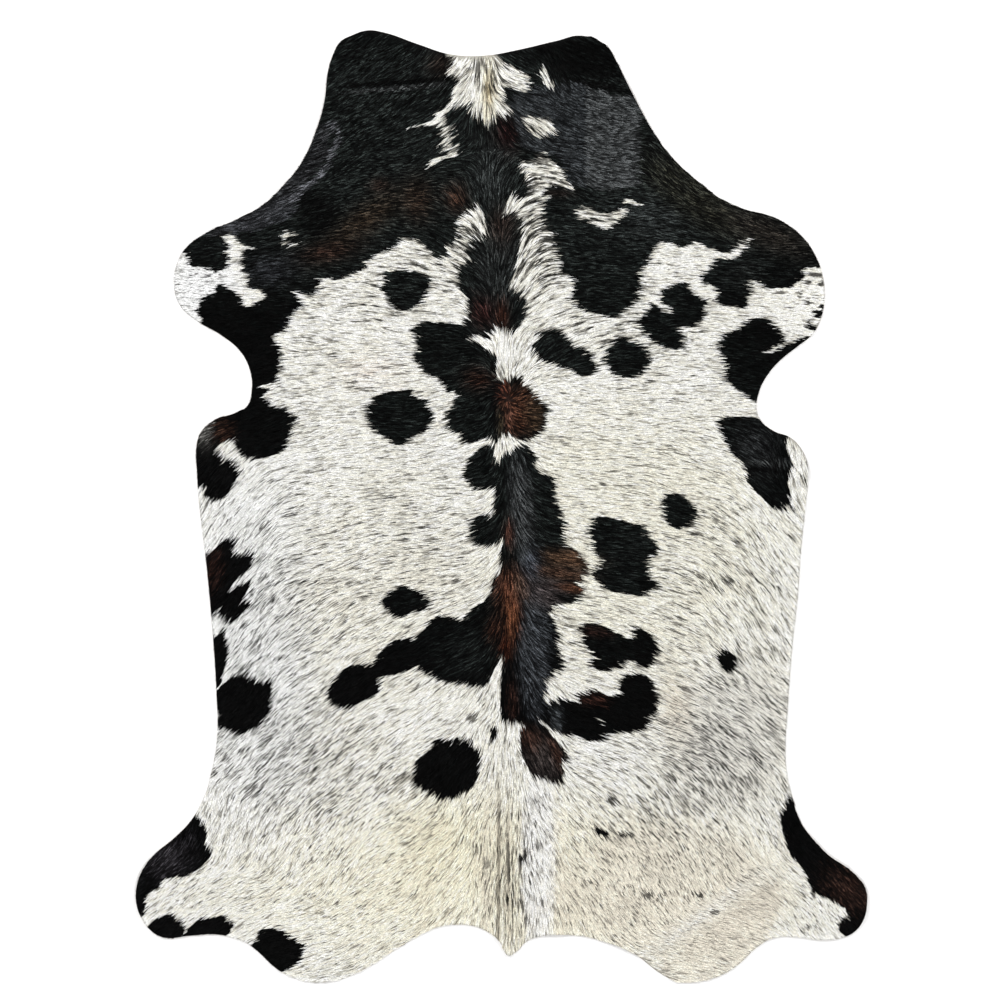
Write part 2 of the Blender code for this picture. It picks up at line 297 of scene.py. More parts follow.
# ---- The markings -----------------------------------------------------------------------
# The animal's own colours, grown into the hair: off-white with black patches, rusty brown
# along the spine and a scatter of grey flecks. Painted in with them: a painted grey sheen where
# the black hair catches the light, and painted shadows and highlights along creases and pleats.
# Each patch is a loop of centimetres across and along, as the outline is; it follows the
# rug's, and the hairs along its edge break it up.
BLACK_PATCHES = {
    "neck, forelegs and the mane down to the saddle": (
        (-90, 120), (-90, 58.5), (-73.5, 58.5), (-72.2, 57.6), (-72, 55.7), (-69, 55), (-66, 54),
        (-64.8, 54.3), (-62.8, 55.3), (-63.5, 56), (-62.5, 57), (-63.3, 58), (-63, 60), (-64, 62),
        (-62, 62.6), (-60, 60.5), (-56.8, 59.1), (-59.5, 58.7), (-60, 56), (-59.5, 54.5),
        (-58.2, 52), (-58, 50.5), (-55, 49.7), (-54, 49.2), (-48.5, 50), (-46, 49), (-44.5, 48.8),
        (-42.8, 49.5), (-41.5, 51.8), (-42.5, 52.3), (-40, 52.7), (-38.5, 52), (-35, 53.3),
        (-31, 55), (-31.5, 56), (-30, 57.2), (-28, 58.3), (-24, 60), (-23.5, 61.5), (-22, 62),
        (-19, 61.2), (-16, 58.3), (-14.5, 57), (-12.5, 58), (-13.5, 59), (-12, 60.3), (-10.2, 61.5),
        (-9.7, 65), (-9.5, 66.8), (-7.8, 67.7), (-6.5, 68.4), (-6.6, 70.1), (-5, 69.2),
        (-3.9, 67.2), (-3.3, 64.5), (-3.5, 62), (-5, 61.8), (-6.5, 61.2), (-8, 59.8), (-7.8, 58),
        (-9.5, 55.5), (-10.3, 54), (-10, 52), (-9.7, 50), (-7.8, 48), (-8, 44), (-8.5, 43),
        (-8.3, 41.7), (-12, 42), (-15, 42), (-18.5, 42.5), (-19.7, 41.5), (-20.2, 40.3),
        (-19.8, 38), (-20, 34), (-18.8, 32.5), (-17.5, 30.7), (-14.5, 29.4), (-13.8, 28),
        (-12.3, 26.6), (-10.3, 26), (-10.5, 24.7), (-12.3, 22), (-12.8, 21), (-12.5, 19.5),
        (-13, 18.5), (-12, 17.7), (-9.8, 16.5), (-9, 15.3), (-7, 14.5), (-4, 15.8), (-1, 15),
        (0, 16.5), (2, 16.2), (4.8, 15.3), (7, 15.5), (9.5, 17.5), (10.3, 19.5), (10.3, 21),
        (11.3, 22), (10, 23.5), (9, 24.5), (7.7, 25.7), (7, 27), (5.8, 27.5), (5, 28.5),
        (4.3, 29.7), (2, 29.7), (1.5, 29.2), (-1.3, 29.1), (-1.3, 33.5), (-1.8, 35), (-3.8, 36),
        (-5.5, 37.7), (-8.3, 38.2), (-6, 39.3), (-3, 39), (-1.7, 41), (0, 41.2), (2.5, 40.3),
        (4.7, 42.5), (6, 45.5), (5.8, 47), (3.5, 49.5), (2.3, 50), (2, 51.5), (2.8, 53), (3.5, 57),
        (4, 60), (4.8, 61), (4.5, 62.5), (4.6, 64.8), (4, 66), (3.1, 66.9), (2.5, 68.1),
        (1.6, 67.9), (0.7, 67.9), (0.9, 69.5), (1.5, 71.2), (2.5, 72.9), (2.9, 71.4), (4.8, 71),
        (6.3, 72.7), (6.3, 74.4), (5.2, 76.5), (4, 78), (4.2, 79.1), (4.5, 80.4), (5.6, 78.9),
        (8, 79.8), (9.2, 82), (10.3, 80.2), (12, 79), (14, 77.8), (14.8, 75.5), (16.8, 72.6),
        (15, 73), (13, 73.7), (10.8, 73.3), (10, 71.8), (10.8, 70.8), (9.5, 70), (9.8, 66),
        (10.3, 64.5), (11.8, 63), (12.3, 59.5), (13.3, 57), (14, 55.5), (13.3, 54.7), (15.5, 53.3),
        (17, 51.5), (16, 50.5), (17, 49.7), (15.8, 48.3), (16.8, 47), (19, 45), (21, 44.7),
        (23, 44.2), (25, 43.5), (27, 43.7), (29, 45.7), (31, 47), (31.8, 50), (32.5, 51), (32, 54),
        (33.5, 56), (35, 59), (36.3, 60.5), (38.5, 61), (42, 59.5), (43.5, 60), (44.5, 61.3),
        (47, 59.7), (49, 59.2), (51, 58.5), (53, 59.1), (57, 61.9), (56.2, 59.5), (54, 57),
        (51, 56.8), (49.5, 56.8), (48.5, 55.5), (48, 54.5), (46.2, 53), (46.7, 51.8), (49.3, 50),
        (49.5, 47.5), (50.5, 46.5), (53.5, 46), (55.8, 45.6), (56.8, 48.3), (57.7, 49.5),
        (57, 52.3), (58.5, 52), (61, 50.5), (63, 50.3), (66, 50.5), (68.5, 52), (69.5, 53),
        (69.5, 55), (72.9, 55.1), (90, 55.1), (90, 120),
    ),
    "left elbow": (
        (-54, 50.5), (-54.2, 48), (-56, 47), (-58.5, 45.7), (-59.5, 46), (-59.5, 47.3), (-61.5, 49),
        (-63.5, 50.3), (-64.5, 50.8), (-66, 50), (-65.6, 49), (-68.5, 48), (-69.5, 46.5),
        (-69.8, 44), (-69, 42.3), (-69.5, 40), (-64, 36), (-61, 31), (-60, 27), (-62, 24),
        (-68, 22), (-73, 18), (-73, 4), (-70.1, 4), (-69, 5), (-68, 2.7), (-67.3, 1.5),
        (-65.5, 1.4), (-63.2, 2.7), (-61.8, 5), (-60.5, 8), (-61.7, 9.5), (-64, 11), (-65.9, 12.8),
        (-65.3, 14), (-62.8, 15.3), (-61, 14), (-60.3, 12), (-58, 11.2), (-57, 10.8), (-54, 11.5),
        (-52, 12), (-50.5, 12.8), (-49.5, 14.5), (-48.5, 16.5), (-48.3, 18.5), (-47.5, 20),
        (-50, 22.3), (-52, 22.3), (-54.5, 24.5), (-55, 25.5), (-54, 26.5), (-56.5, 28), (-54, 28.2),
        (-52, 28.8), (-51, 32), (-51, 36), (-53, 39.3), (-51, 40), (-49.5, 41), (-48.3, 44),
        (-46, 46.5), (-48, 49), (-48, 50.5),
    ),
    "inside the left foreleg": (
        (-26.8, 53.8), (-25, 54), (-20.3, 54), (-18.8, 53.8), (-17, 52), (-16.5, 50.5), (-17, 49.3),
        (-18, 48), (-19, 46.7), (-20, 45.8), (-22, 45), (-24, 45.5), (-26.5, 48), (-26.8, 49.5),
        (-28, 50), (-27, 51),
    ),
    "left ribs": (
        (-31, 22), (-30, 24.3), (-28.5, 25.3), (-26, 26.2), (-23, 26.5), (-20.5, 26.7),
        (-20.8, 25.5), (-19, 24.7), (-17, 24.3), (-17, 22.5), (-15.5, 21.7), (-16.5, 20.5),
        (-16, 19.5), (-16.8, 18), (-18.5, 17), (-21.5, 15), (-23, 14.3), (-25, 14.5), (-27, 16.3),
        (-29, 17.3), (-30.3, 18.5),
    ),
    "right shoulder": (
        (8.3, 40), (10.5, 40.5), (13, 40.5), (14.5, 39.8), (16, 37), (17.5, 36.7), (19.5, 35.8),
        (21, 34.5), (22.2, 31.7), (21.5, 30.7), (18.5, 30), (17, 31), (15, 31.7), (12, 33.3),
        (10, 33.5), (7.8, 35), (6.5, 35), (7.8, 36), (7, 37), (9.3, 38.7),
    ),
    "behind the right shoulder": (
        (27, 38.7), (28.5, 38.8), (31, 37.5), (33, 37), (34, 34.5), (34, 32.5), (32, 30.3),
        (30.5, 29.8), (27.5, 29.8), (25, 31.2), (25.5, 32), (23.3, 33.8), (24.5, 34.8), (24, 36),
        (25.3, 36.5), (26, 38.3),
    ),
    "right upper foreleg": (
        (40.5, 51.2), (43, 51.2), (44, 48.5), (46.8, 47.5), (47, 46), (46.5, 45), (47.3, 44.3),
        (45, 41.8), (43.5, 41.3), (42, 41.6), (40.8, 41.2), (41.3, 40.3), (42.2, 37.5), (42, 36.3),
        (38.5, 36.3), (36.5, 37), (34, 39), (32.5, 40), (31.5, 42.5), (33.5, 44.5), (34, 46.3),
        (35, 46.5), (37, 44.8), (36.7, 44.3), (39.7, 44.3), (39, 45.3), (37.2, 47), (36.8, 48.5),
        (37.3, 49.5), (39, 50.5),
    ),
    "right armpit": (
        (57.5, 43), (60.5, 43), (62, 42.3), (64, 40), (65, 38.2), (63.2, 37), (60.6, 35.9),
        (60.8, 35.1), (63.6, 35.6), (65.6, 37), (68.3, 38.2), (70.6, 39), (72, 36), (62, 28),
        (60, 24), (58.4, 24), (56.5, 25), (54.5, 27), (52.3, 28.3), (51.5, 31), (51.8, 32.5),
        (50.3, 35.5), (50, 38), (52.3, 39.8), (55, 41), (56, 42),
    ),
    "right elbow": (
        (50.5, 19.8), (51.8, 20.4), (54, 20.6), (58.7, 20.2), (61, 18.6), (66, 16.6), (66.2, 16),
        (65.2, 14), (65.9, 11.5), (66.7, 10), (66, 6.5), (65.8, 4.5), (66.3, 1), (65, -0.3),
        (64, -0.7), (62.5, -0.3), (60, 2), (57.2, 5), (56.5, 6.5), (55.8, 9.5), (53.5, 12.3),
        (51.3, 15.3), (50.8, 17), (50.2, 18.5),
    ),
    "right ribs": (
        (37, 2), (38.5, 2.7), (40, 2.8), (41.5, 2.3), (43, 1.3), (44.3, 0), (44.8, -1.5),
        (44.3, -3), (43.3, -4.3), (41.5, -5.1), (39.8, -4.8), (38.5, -3.7), (37.5, -0.5), (36.8, 1),
    ),
    "right side": (
        (21.5, -2.5), (26, -3), (30, -4), (32, -4.5), (33.3, -5.5), (34, -6.8), (36.3, -9.5),
        (35.3, -10.8), (34.5, -12.3), (33.3, -13.7), (34.8, -16.8), (35.8, -18.3), (33.5, -20.2),
        (32, -20.5), (28, -19.7), (24.5, -19), (21.5, -16), (22, -14.5), (24, -12.5), (22.5, -11.5),
        (21, -9), (21.5, -7.8), (20.3, -6.8),
    ),
    "right loin": (
        (27.3, -29.5), (28.5, -30.3), (29.8, -30.8), (31, -28.3), (32.3, -28.3), (34.8, -30.2),
        (35.3, -31.5), (36.6, -33.3), (35.7, -34.3), (35.3, -36), (34, -36.8), (32.5, -37),
        (30.8, -35.5), (29.3, -35.2), (27, -36.8), (24, -37.6), (22, -37.3), (20.7, -36.5),
        (21.3, -35), (21, -33.3), (18.5, -31.3), (19.3, -29.7), (18.3, -28.5), (20, -26.9),
        (22.5, -27.3), (26, -28.8),
    ),
    "back, left wing and right haunch": (
        (-2.3, 13.7), (-5.3, 13), (-6.5, 12), (-7.7, 10.7), (-8.5, 8), (-8.5, 6.5), (-6.5, 4.5),
        (-5, 3.8), (-2.3, 4.3), (-1.7, 3.5), (-1.5, 2), (-2.1, -0.5), (-1.8, -2), (-0.3, -5),
        (0.3, -8), (0, -10), (-0.5, -13.5), (0, -15.5), (-1.8, -16.5), (-1.7, -18), (-3, -20.5),
        (-3.8, -22), (-6.5, -23.3), (-7.5, -24.3), (-8.5, -26.3), (-10, -25.7), (-14, -25.2),
        (-15.8, -25.7), (-17.3, -28), (-19.4, -29.8), (-20, -31), (-20.8, -30.2), (-24, -30.8),
        (-26.8, -32.4), (-29, -35.4), (-29.4, -37.3), (-30.2, -36.5), (-34, -36.3), (-36, -37.5),
        (-38.8, -40.3), (-40, -42.8), (-40, -44.4), (-38, -46), (-35.5, -46.4), (-32.5, -45),
        (-29.5, -43.6), (-28.3, -42), (-28.2, -39.6), (-28.9, -38.9), (-26, -38.8), (-21.4, -37.6),
        (-19.8, -36.2), (-19, -37.2), (-14, -40.1), (-10, -40.5), (-6.5, -41.3), (-5, -41.7),
        (-3.7, -41), (-2.3, -38.7), (-1, -36), (0, -34.5), (0.4, -36), (0, -40), (0, -48.5),
        (1, -49.5), (3.5, -50), (5.5, -50.5), (4.2, -53), (4.8, -57), (6.5, -61), (8, -62.2),
        (12, -63.3), (13.7, -63.4), (14, -60), (15, -58.3), (14.5, -56), (12, -53.5), (10, -50.7),
        (8.3, -50), (8.2, -49.2), (9.5, -49.2), (12, -51.3), (15, -52.8), (17, -52.5),
        (20.5, -53.8), (23.8, -53.7), (24.3, -52), (28, -51.9), (32.5, -51.3), (34, -50),
        (34.2, -48.3), (35.5, -47.8), (36, -46), (35.5, -42.5), (34, -39.5), (30, -38.7), (27, -40),
        (28, -40.8), (26.8, -42), (28.3, -43), (25, -44), (22.5, -42.7), (21, -42.3), (18, -43.7),
        (18, -45.3), (15, -44.6), (12, -45), (11, -46), (9.5, -44), (10.5, -43.3), (10.3, -40.5),
        (12.5, -38.3), (14, -37), (13.7, -34.5), (12.5, -31.5), (13.2, -30.3), (12.3, -27.5),
        (11, -24.8), (9.8, -24), (12, -23.7), (13.5, -22.5), (17, -21.8), (19, -20), (18.5, -19.3),
        (18.3, -17), (20, -14.7), (18.8, -12), (16.7, -10), (14.3, -8.3), (14.7, -4), (12.8, 1),
        (12.3, 2), (12.5, 4.2), (11.5, 6.5), (8.7, 7.5), (8, 8.8), (8, 11), (6.3, 13.3), (5, 14),
        (2.3, 12.3), (0, 11), (-0.6, 9), (-1.7, 11),
    ),
    "beside the spine": (
        (-7.5, -5.5), (-7, -3.7), (-5.5, -2.5), (-4, -2), (-2.5, -2.5), (-0.9, -3), (0.2, -4.6),
        (0.2, -6.8), (-0.8, -8.4), (-2.5, -9), (-4, -9.2), (-5.5, -9), (-6.7, -7.7),
    ),
    "left loin": (
        (-27.5, -21.6), (-26, -20.1), (-24.5, -19), (-22.3, -18.5), (-19.3, -19.7), (-17.6, -20.4),
        (-16.6, -22), (-18, -23.6), (-21.5, -24.5), (-23.7, -25.5), (-26.4, -23.6),
    ),
    "left belly": (
        (-71, -12), (-67.8, -10.5), (-66.5, -10.5), (-64, -8), (-61.8, -8), (-61.5, -11),
        (-58.7, -11.3), (-57, -12), (-58, -14), (-60, -16), (-61.3, -17), (-62.5, -18.7),
        (-61.8, -19.7), (-60.8, -18.5), (-58, -17.3), (-58.3, -19), (-60, -21.8), (-58.2, -22),
        (-58.5, -23.3), (-60, -24.7), (-62.5, -27), (-64, -25), (-66, -24), (-66.8, -25),
        (-71, -25),
    ),
    "behind the left belly": (
        (-70, -30), (-66.6, -30), (-65.5, -29.8), (-64, -29), (-63, -32.5), (-63.3, -35.5),
        (-63.8, -37.5), (-64.8, -40.5), (-65.8, -42), (-69, -42),
    ),
    "left flank": (
        (-60, -52.3), (-57, -51), (-55.5, -50), (-54.8, -48.5), (-53.5, -47), (-53, -43.5),
        (-52.8, -40.3), (-55.5, -40.5), (-57.5, -39.5), (-59, -38.8), (-61.5, -39.2), (-63, -40),
        (-64.3, -41.3), (-65.3, -42.7), (-65.6, -44.5), (-65.2, -47.5), (-64, -47.9), (-65.2, -49),
        (-64.8, -50.5), (-63, -51.7),
    ),
    "left hind leg": (
        (-70.5, -70.5), (-69, -72.3), (-68, -75), (-68, -77), (-66.8, -79.5), (-68.2, -81.8),
        (-70, -83.3), (-71.5, -84.3), (-73, -85), (-77.5, -85.5), (-79, -87.5), (-81.5, -89),
        (-82, -91.5), (-83, -94.3), (-90, -94), (-90, -80), (-73, -70),
    ),
    "left hoof's edge": (
        (-81.2, -96.7), (-79.5, -95), (-78, -94.3), (-76, -94), (-74, -95.8), (-72.8, -96.7),
        (-73.2, -98.7), (-73, -101), (-82, -101),
    ),
    "under the left hind leg": (
        (-72.6, -98.6), (-72.2, -97.5), (-70, -95.3), (-68, -94.8), (-65.5, -94.4), (-63.8, -94.7),
        (-62, -96.3), (-63, -98.7), (-63, -101), (-72.6, -101),
    ),
    "left rump's edge": (
        (-55, -97.3), (-53, -97.1), (-49.5, -98), (-48.3, -99.5), (-45.7, -101), (-45.6, -102.3),
        (-47, -104.8), (-50, -106.5), (-51, -106.8), (-53, -108), (-60, -101.5), (-57.4, -101.2),
        (-56.3, -99.5), (-55.8, -98.2),
    ),
    "left rump": (
        (-15, -53.8), (-9, -53.9), (-7, -54.3), (-6, -55.7), (-5, -56.5), (-5.2, -60),
        (-5.3, -61.8), (-6.2, -63.5), (-7.5, -65), (-11.5, -67.2), (-13, -67.4), (-17, -66),
        (-20, -64), (-20.2, -62), (-19.8, -60), (-19, -58), (-16.3, -56),
    ),
    "right hind leg": (
        (66.7, -67), (64.5, -70), (64.3, -71.5), (65, -75.5), (65.3, -77), (66.5, -79.5),
        (67, -80.7), (69.3, -83), (70.7, -86.3), (71.7, -88.3), (73, -89.3), (76.5, -90.8),
        (79, -92.3), (79.8, -94.3), (78, -95), (77.8, -97.2), (79.2, -98.6), (83, -101), (90, -92),
        (84, -82), (70, -70),
    ),
    "spot on the right haunch": (
        (49.8, -33.9), (51.5, -33.3), (53.5, -34.3), (54.1, -36), (54, -37.5), (52.5, -38.3),
        (50.9, -37), (50, -35.5),
    ),
}

# White hair that grows inside the black of the neck
WHITE_PATCHES = {
    "tuft at the top of the neck": (
        (-12, 106), (-12.2, 103), (-11.3, 102), (-12.3, 100.6), (-12.6, 99.2), (-11, 98.6),
        (-10.6, 97.3), (-11.4, 95), (-12, 92.6), (-14, 91), (-15.8, 90.6), (-15.4, 89.4),
        (-16.8, 88.3), (-21.3, 87.4), (-21.4, 86.9), (-16.6, 87.7), (-14.6, 87.2), (-14.3, 84.8),
        (-13.4, 82.9), (-13, 80.8), (-16.6, 79.8), (-16.4, 78), (-13.4, 79.6), (-9.9, 80.6),
        (-10.5, 82.4), (-11.6, 84), (-11.6, 86.2), (-13, 87), (-12.9, 89.4), (-11.8, 91.1),
        (-10.3, 91.9), (-8, 91.8), (-6.6, 89.9), (-4.6, 89), (-3, 87.7), (-1, 89.3), (1.6, 90.4),
        (2, 92), (0.4, 92.8), (1, 94.2), (0.2, 95.7), (3, 95.9), (5.5, 95), (6.2, 96.6), (6.4, 98),
        (5.3, 99.5), (3.2, 100.8), (1, 102), (-1.3, 104), (-2, 106),
    ),
    "fleck right of the tuft": (
        (9, 99), (9.7, 101), (10.6, 100), (11, 98.5), (12.3, 96.7), (11, 96), (10, 96.3), (9.8, 98),
    ),
    "patch right of the mane": (
        (5, 89), (7, 89.3), (11, 89), (12, 87.5), (12.8, 85.6), (9.5, 85), (8.5, 84.3), (6.8, 85.6),
    ),
    "crescent on the right shoulder": (
        (18, 69.3), (20, 68.7), (22, 67.8), (24, 67.5), (26, 67.7), (28, 68.8), (29, 68.3),
        (28.8, 67), (26, 65.2), (24.5, 63.5), (21, 64.8), (19.5, 66), (17, 65.7), (17.5, 67.3),
    ),
    "spike by the crescent": ((28.3, 70.9), (31.8, 69.6), (31.6, 68.9), (28.4, 70.1)),
    "hair on the left foreleg": (
        (-49.9, 63.6), (-49.2, 63.5), (-49.3, 62.7), (-47.8, 62.7), (-48, 62), (-49.4, 61.8),
        (-49.2, 60.7), (-47, 60.5), (-47.3, 59.7), (-49.3, 60), (-51, 60.1), (-51, 60.6),
        (-50.1, 60.9), (-50.3, 61.8), (-51, 62.4), (-50.1, 62.7),
    ),
    "streak in the right haunch": ((21.8, -48.6), (22.3, -48.5), (24.2, -50.6), (23.7, -50.7)),
    "streak in the right elbow": ((64.8, 15.2), (65.3, 15.1), (66, 12.8), (65.5, 12.9)),
}

# Small dark marks in the white, and how dark: a middle, a reach each way, and a strength
Mark = namedtuple("Mark", "x y reach_x reach_y strength")
SMALL_MARKS = [Mark(*row) for row in (
    (21.7, -74.3, 1.2, 0.6, 1), (23.2, -75.1, 1.2, 0.8, 1), (24.3, -75.8, 0.8, 0.5, 1),
    (28, -75.6, 0.9, 0.6, 1), (29.4, -75.3, 1, 0.6, 1), (38.5, -62.1, 1.6, 0.8, 0.7),
    (-5.3, 99.4, 0.4, 3.2, 0.8), (-1.9, -52.2, 0.9, 1.6, 1), (-6.9, -48.8, 1.3, 0.8, 0.8),
    (-22.5, -62.5, 2.4, 0.9, 0.6), (-3.3, -82, 0.9, 0.9, 0.6), (5.2, -80.5, 1.2, 1, 0.95),
    (1.5, -82, 0.45, 5, 0.55), (45.8, -89.3, 1.1, 0.7, 0.9), (69.5, -89.3, 0.5, 0.5, 0.8),
    (71.7, -89.3, 0.5, 0.5, 0.8), (69.5, -97.8, 0.6, 0.5, 0.8), (70.5, -96.7, 0.5, 0.5, 0.8),
    (49, -93.3, 0.8, 0.6, 0.8), (33.7, -89.6, 1.1, 0.9, 0.8), (71.3, 53.3, 0.7, 0.6, 0.9),
    (72.9, 53.1, 0.6, 0.5, 0.9), (70.3, 51.4, 0.6, 0.5, 0.9), (73.3, 51.2, 0.6, 0.6, 0.9),
    (64.3, 49.3, 1.1, 0.5, 0.8), (68.8, 49.2, 0.6, 0.5, 0.8), (69, 48, 0.6, 0.5, 0.8),
    (70.8, 46.8, 0.7, 0.5, 0.9), (73.5, 45.9, 0.7, 0.6, 1), (72.8, 44.3, 1.1, 1, 1),
    (70.8, 42.7, 0.6, 0.5, 0.9), (71.2, 41.3, 1.2, 0.8, 1), (-67.5, 53, 0.6, 0.5, 0.9),
    (-74, 54.2, 0.6, 0.6, 0.5), (66.7, -0.3, 0.6, 0.5, 0.9), (54.1, -8.2, 0.8, 0.7, 0.9),
    (52.8, -17.4, 0.9, 0.7, 0.9), (54.6, -33, 0.6, 0.5, 0.6), (62.5, -15, 0.7, 0.5, 0.6),
    (62.5, -32.5, 0.7, 0.5, 0.6), (60.2, -27, 0.6, 0.5, 0.6), (63, -28, 0.6, 0.5, 0.6),
    (63, -52.5, 1.1, 0.9, 0.5), (43, -54.5, 0.6, 0.5, 0.6), (40.5, -19.5, 0.6, 0.5, 0.6),
    (25.4, -67.5, 1.2, 0.9, 0.9), (-8.5, -73, 0.6, 0.5, 0.6), (-22, -77.7, 0.6, 0.5, 0.6),
    (-0.6, -71.5, 0.5, 0.9, 0.5), (9.2, -83.7, 0.5, 0.6, 0.5), (-7.7, -3, 0.8, 0.5, 0.9),
    (-10.8, -17.3, 1, 0.5, 0.8), (15.8, -26, 0.7, 0.5, 0.7), (-23, -4, 0.7, 0.5, 0.5),
    (-16, -7.5, 0.7, 0.5, 0.5), (-25.5, -41, 0.7, 0.5, 0.5), (-43.5, 37.5, 0.8, 0.5, 0.6),
    (-39.5, 38.3, 0.8, 0.5, 0.5), (-38.5, 34.8, 0.8, 0.5, 0.6), (-43.5, 31, 0.7, 0.5, 0.6),
    (-39, 24, 0.7, 0.5, 0.5), (-35, 27, 0.7, 0.5, 0.6), (-43, 13.5, 0.7, 0.5, 0.5),
    (-44.5, 8, 0.7, 0.5, 0.6), (-55.5, 10, 0.7, 0.5, 0.6), (-56, -32.5, 0.8, 0.5, 0.6),
    (-42, -47.5, 1.6, 0.9, 0.5), (-40.5, -26, 0.7, 0.5, 0.6), (-33, -17.7, 0.7, 0.5, 0.5),
    (-47, -22.5, 0.7, 0.5, 0.6), (-46, -12.7, 0.7, 0.5, 0.5),
)]

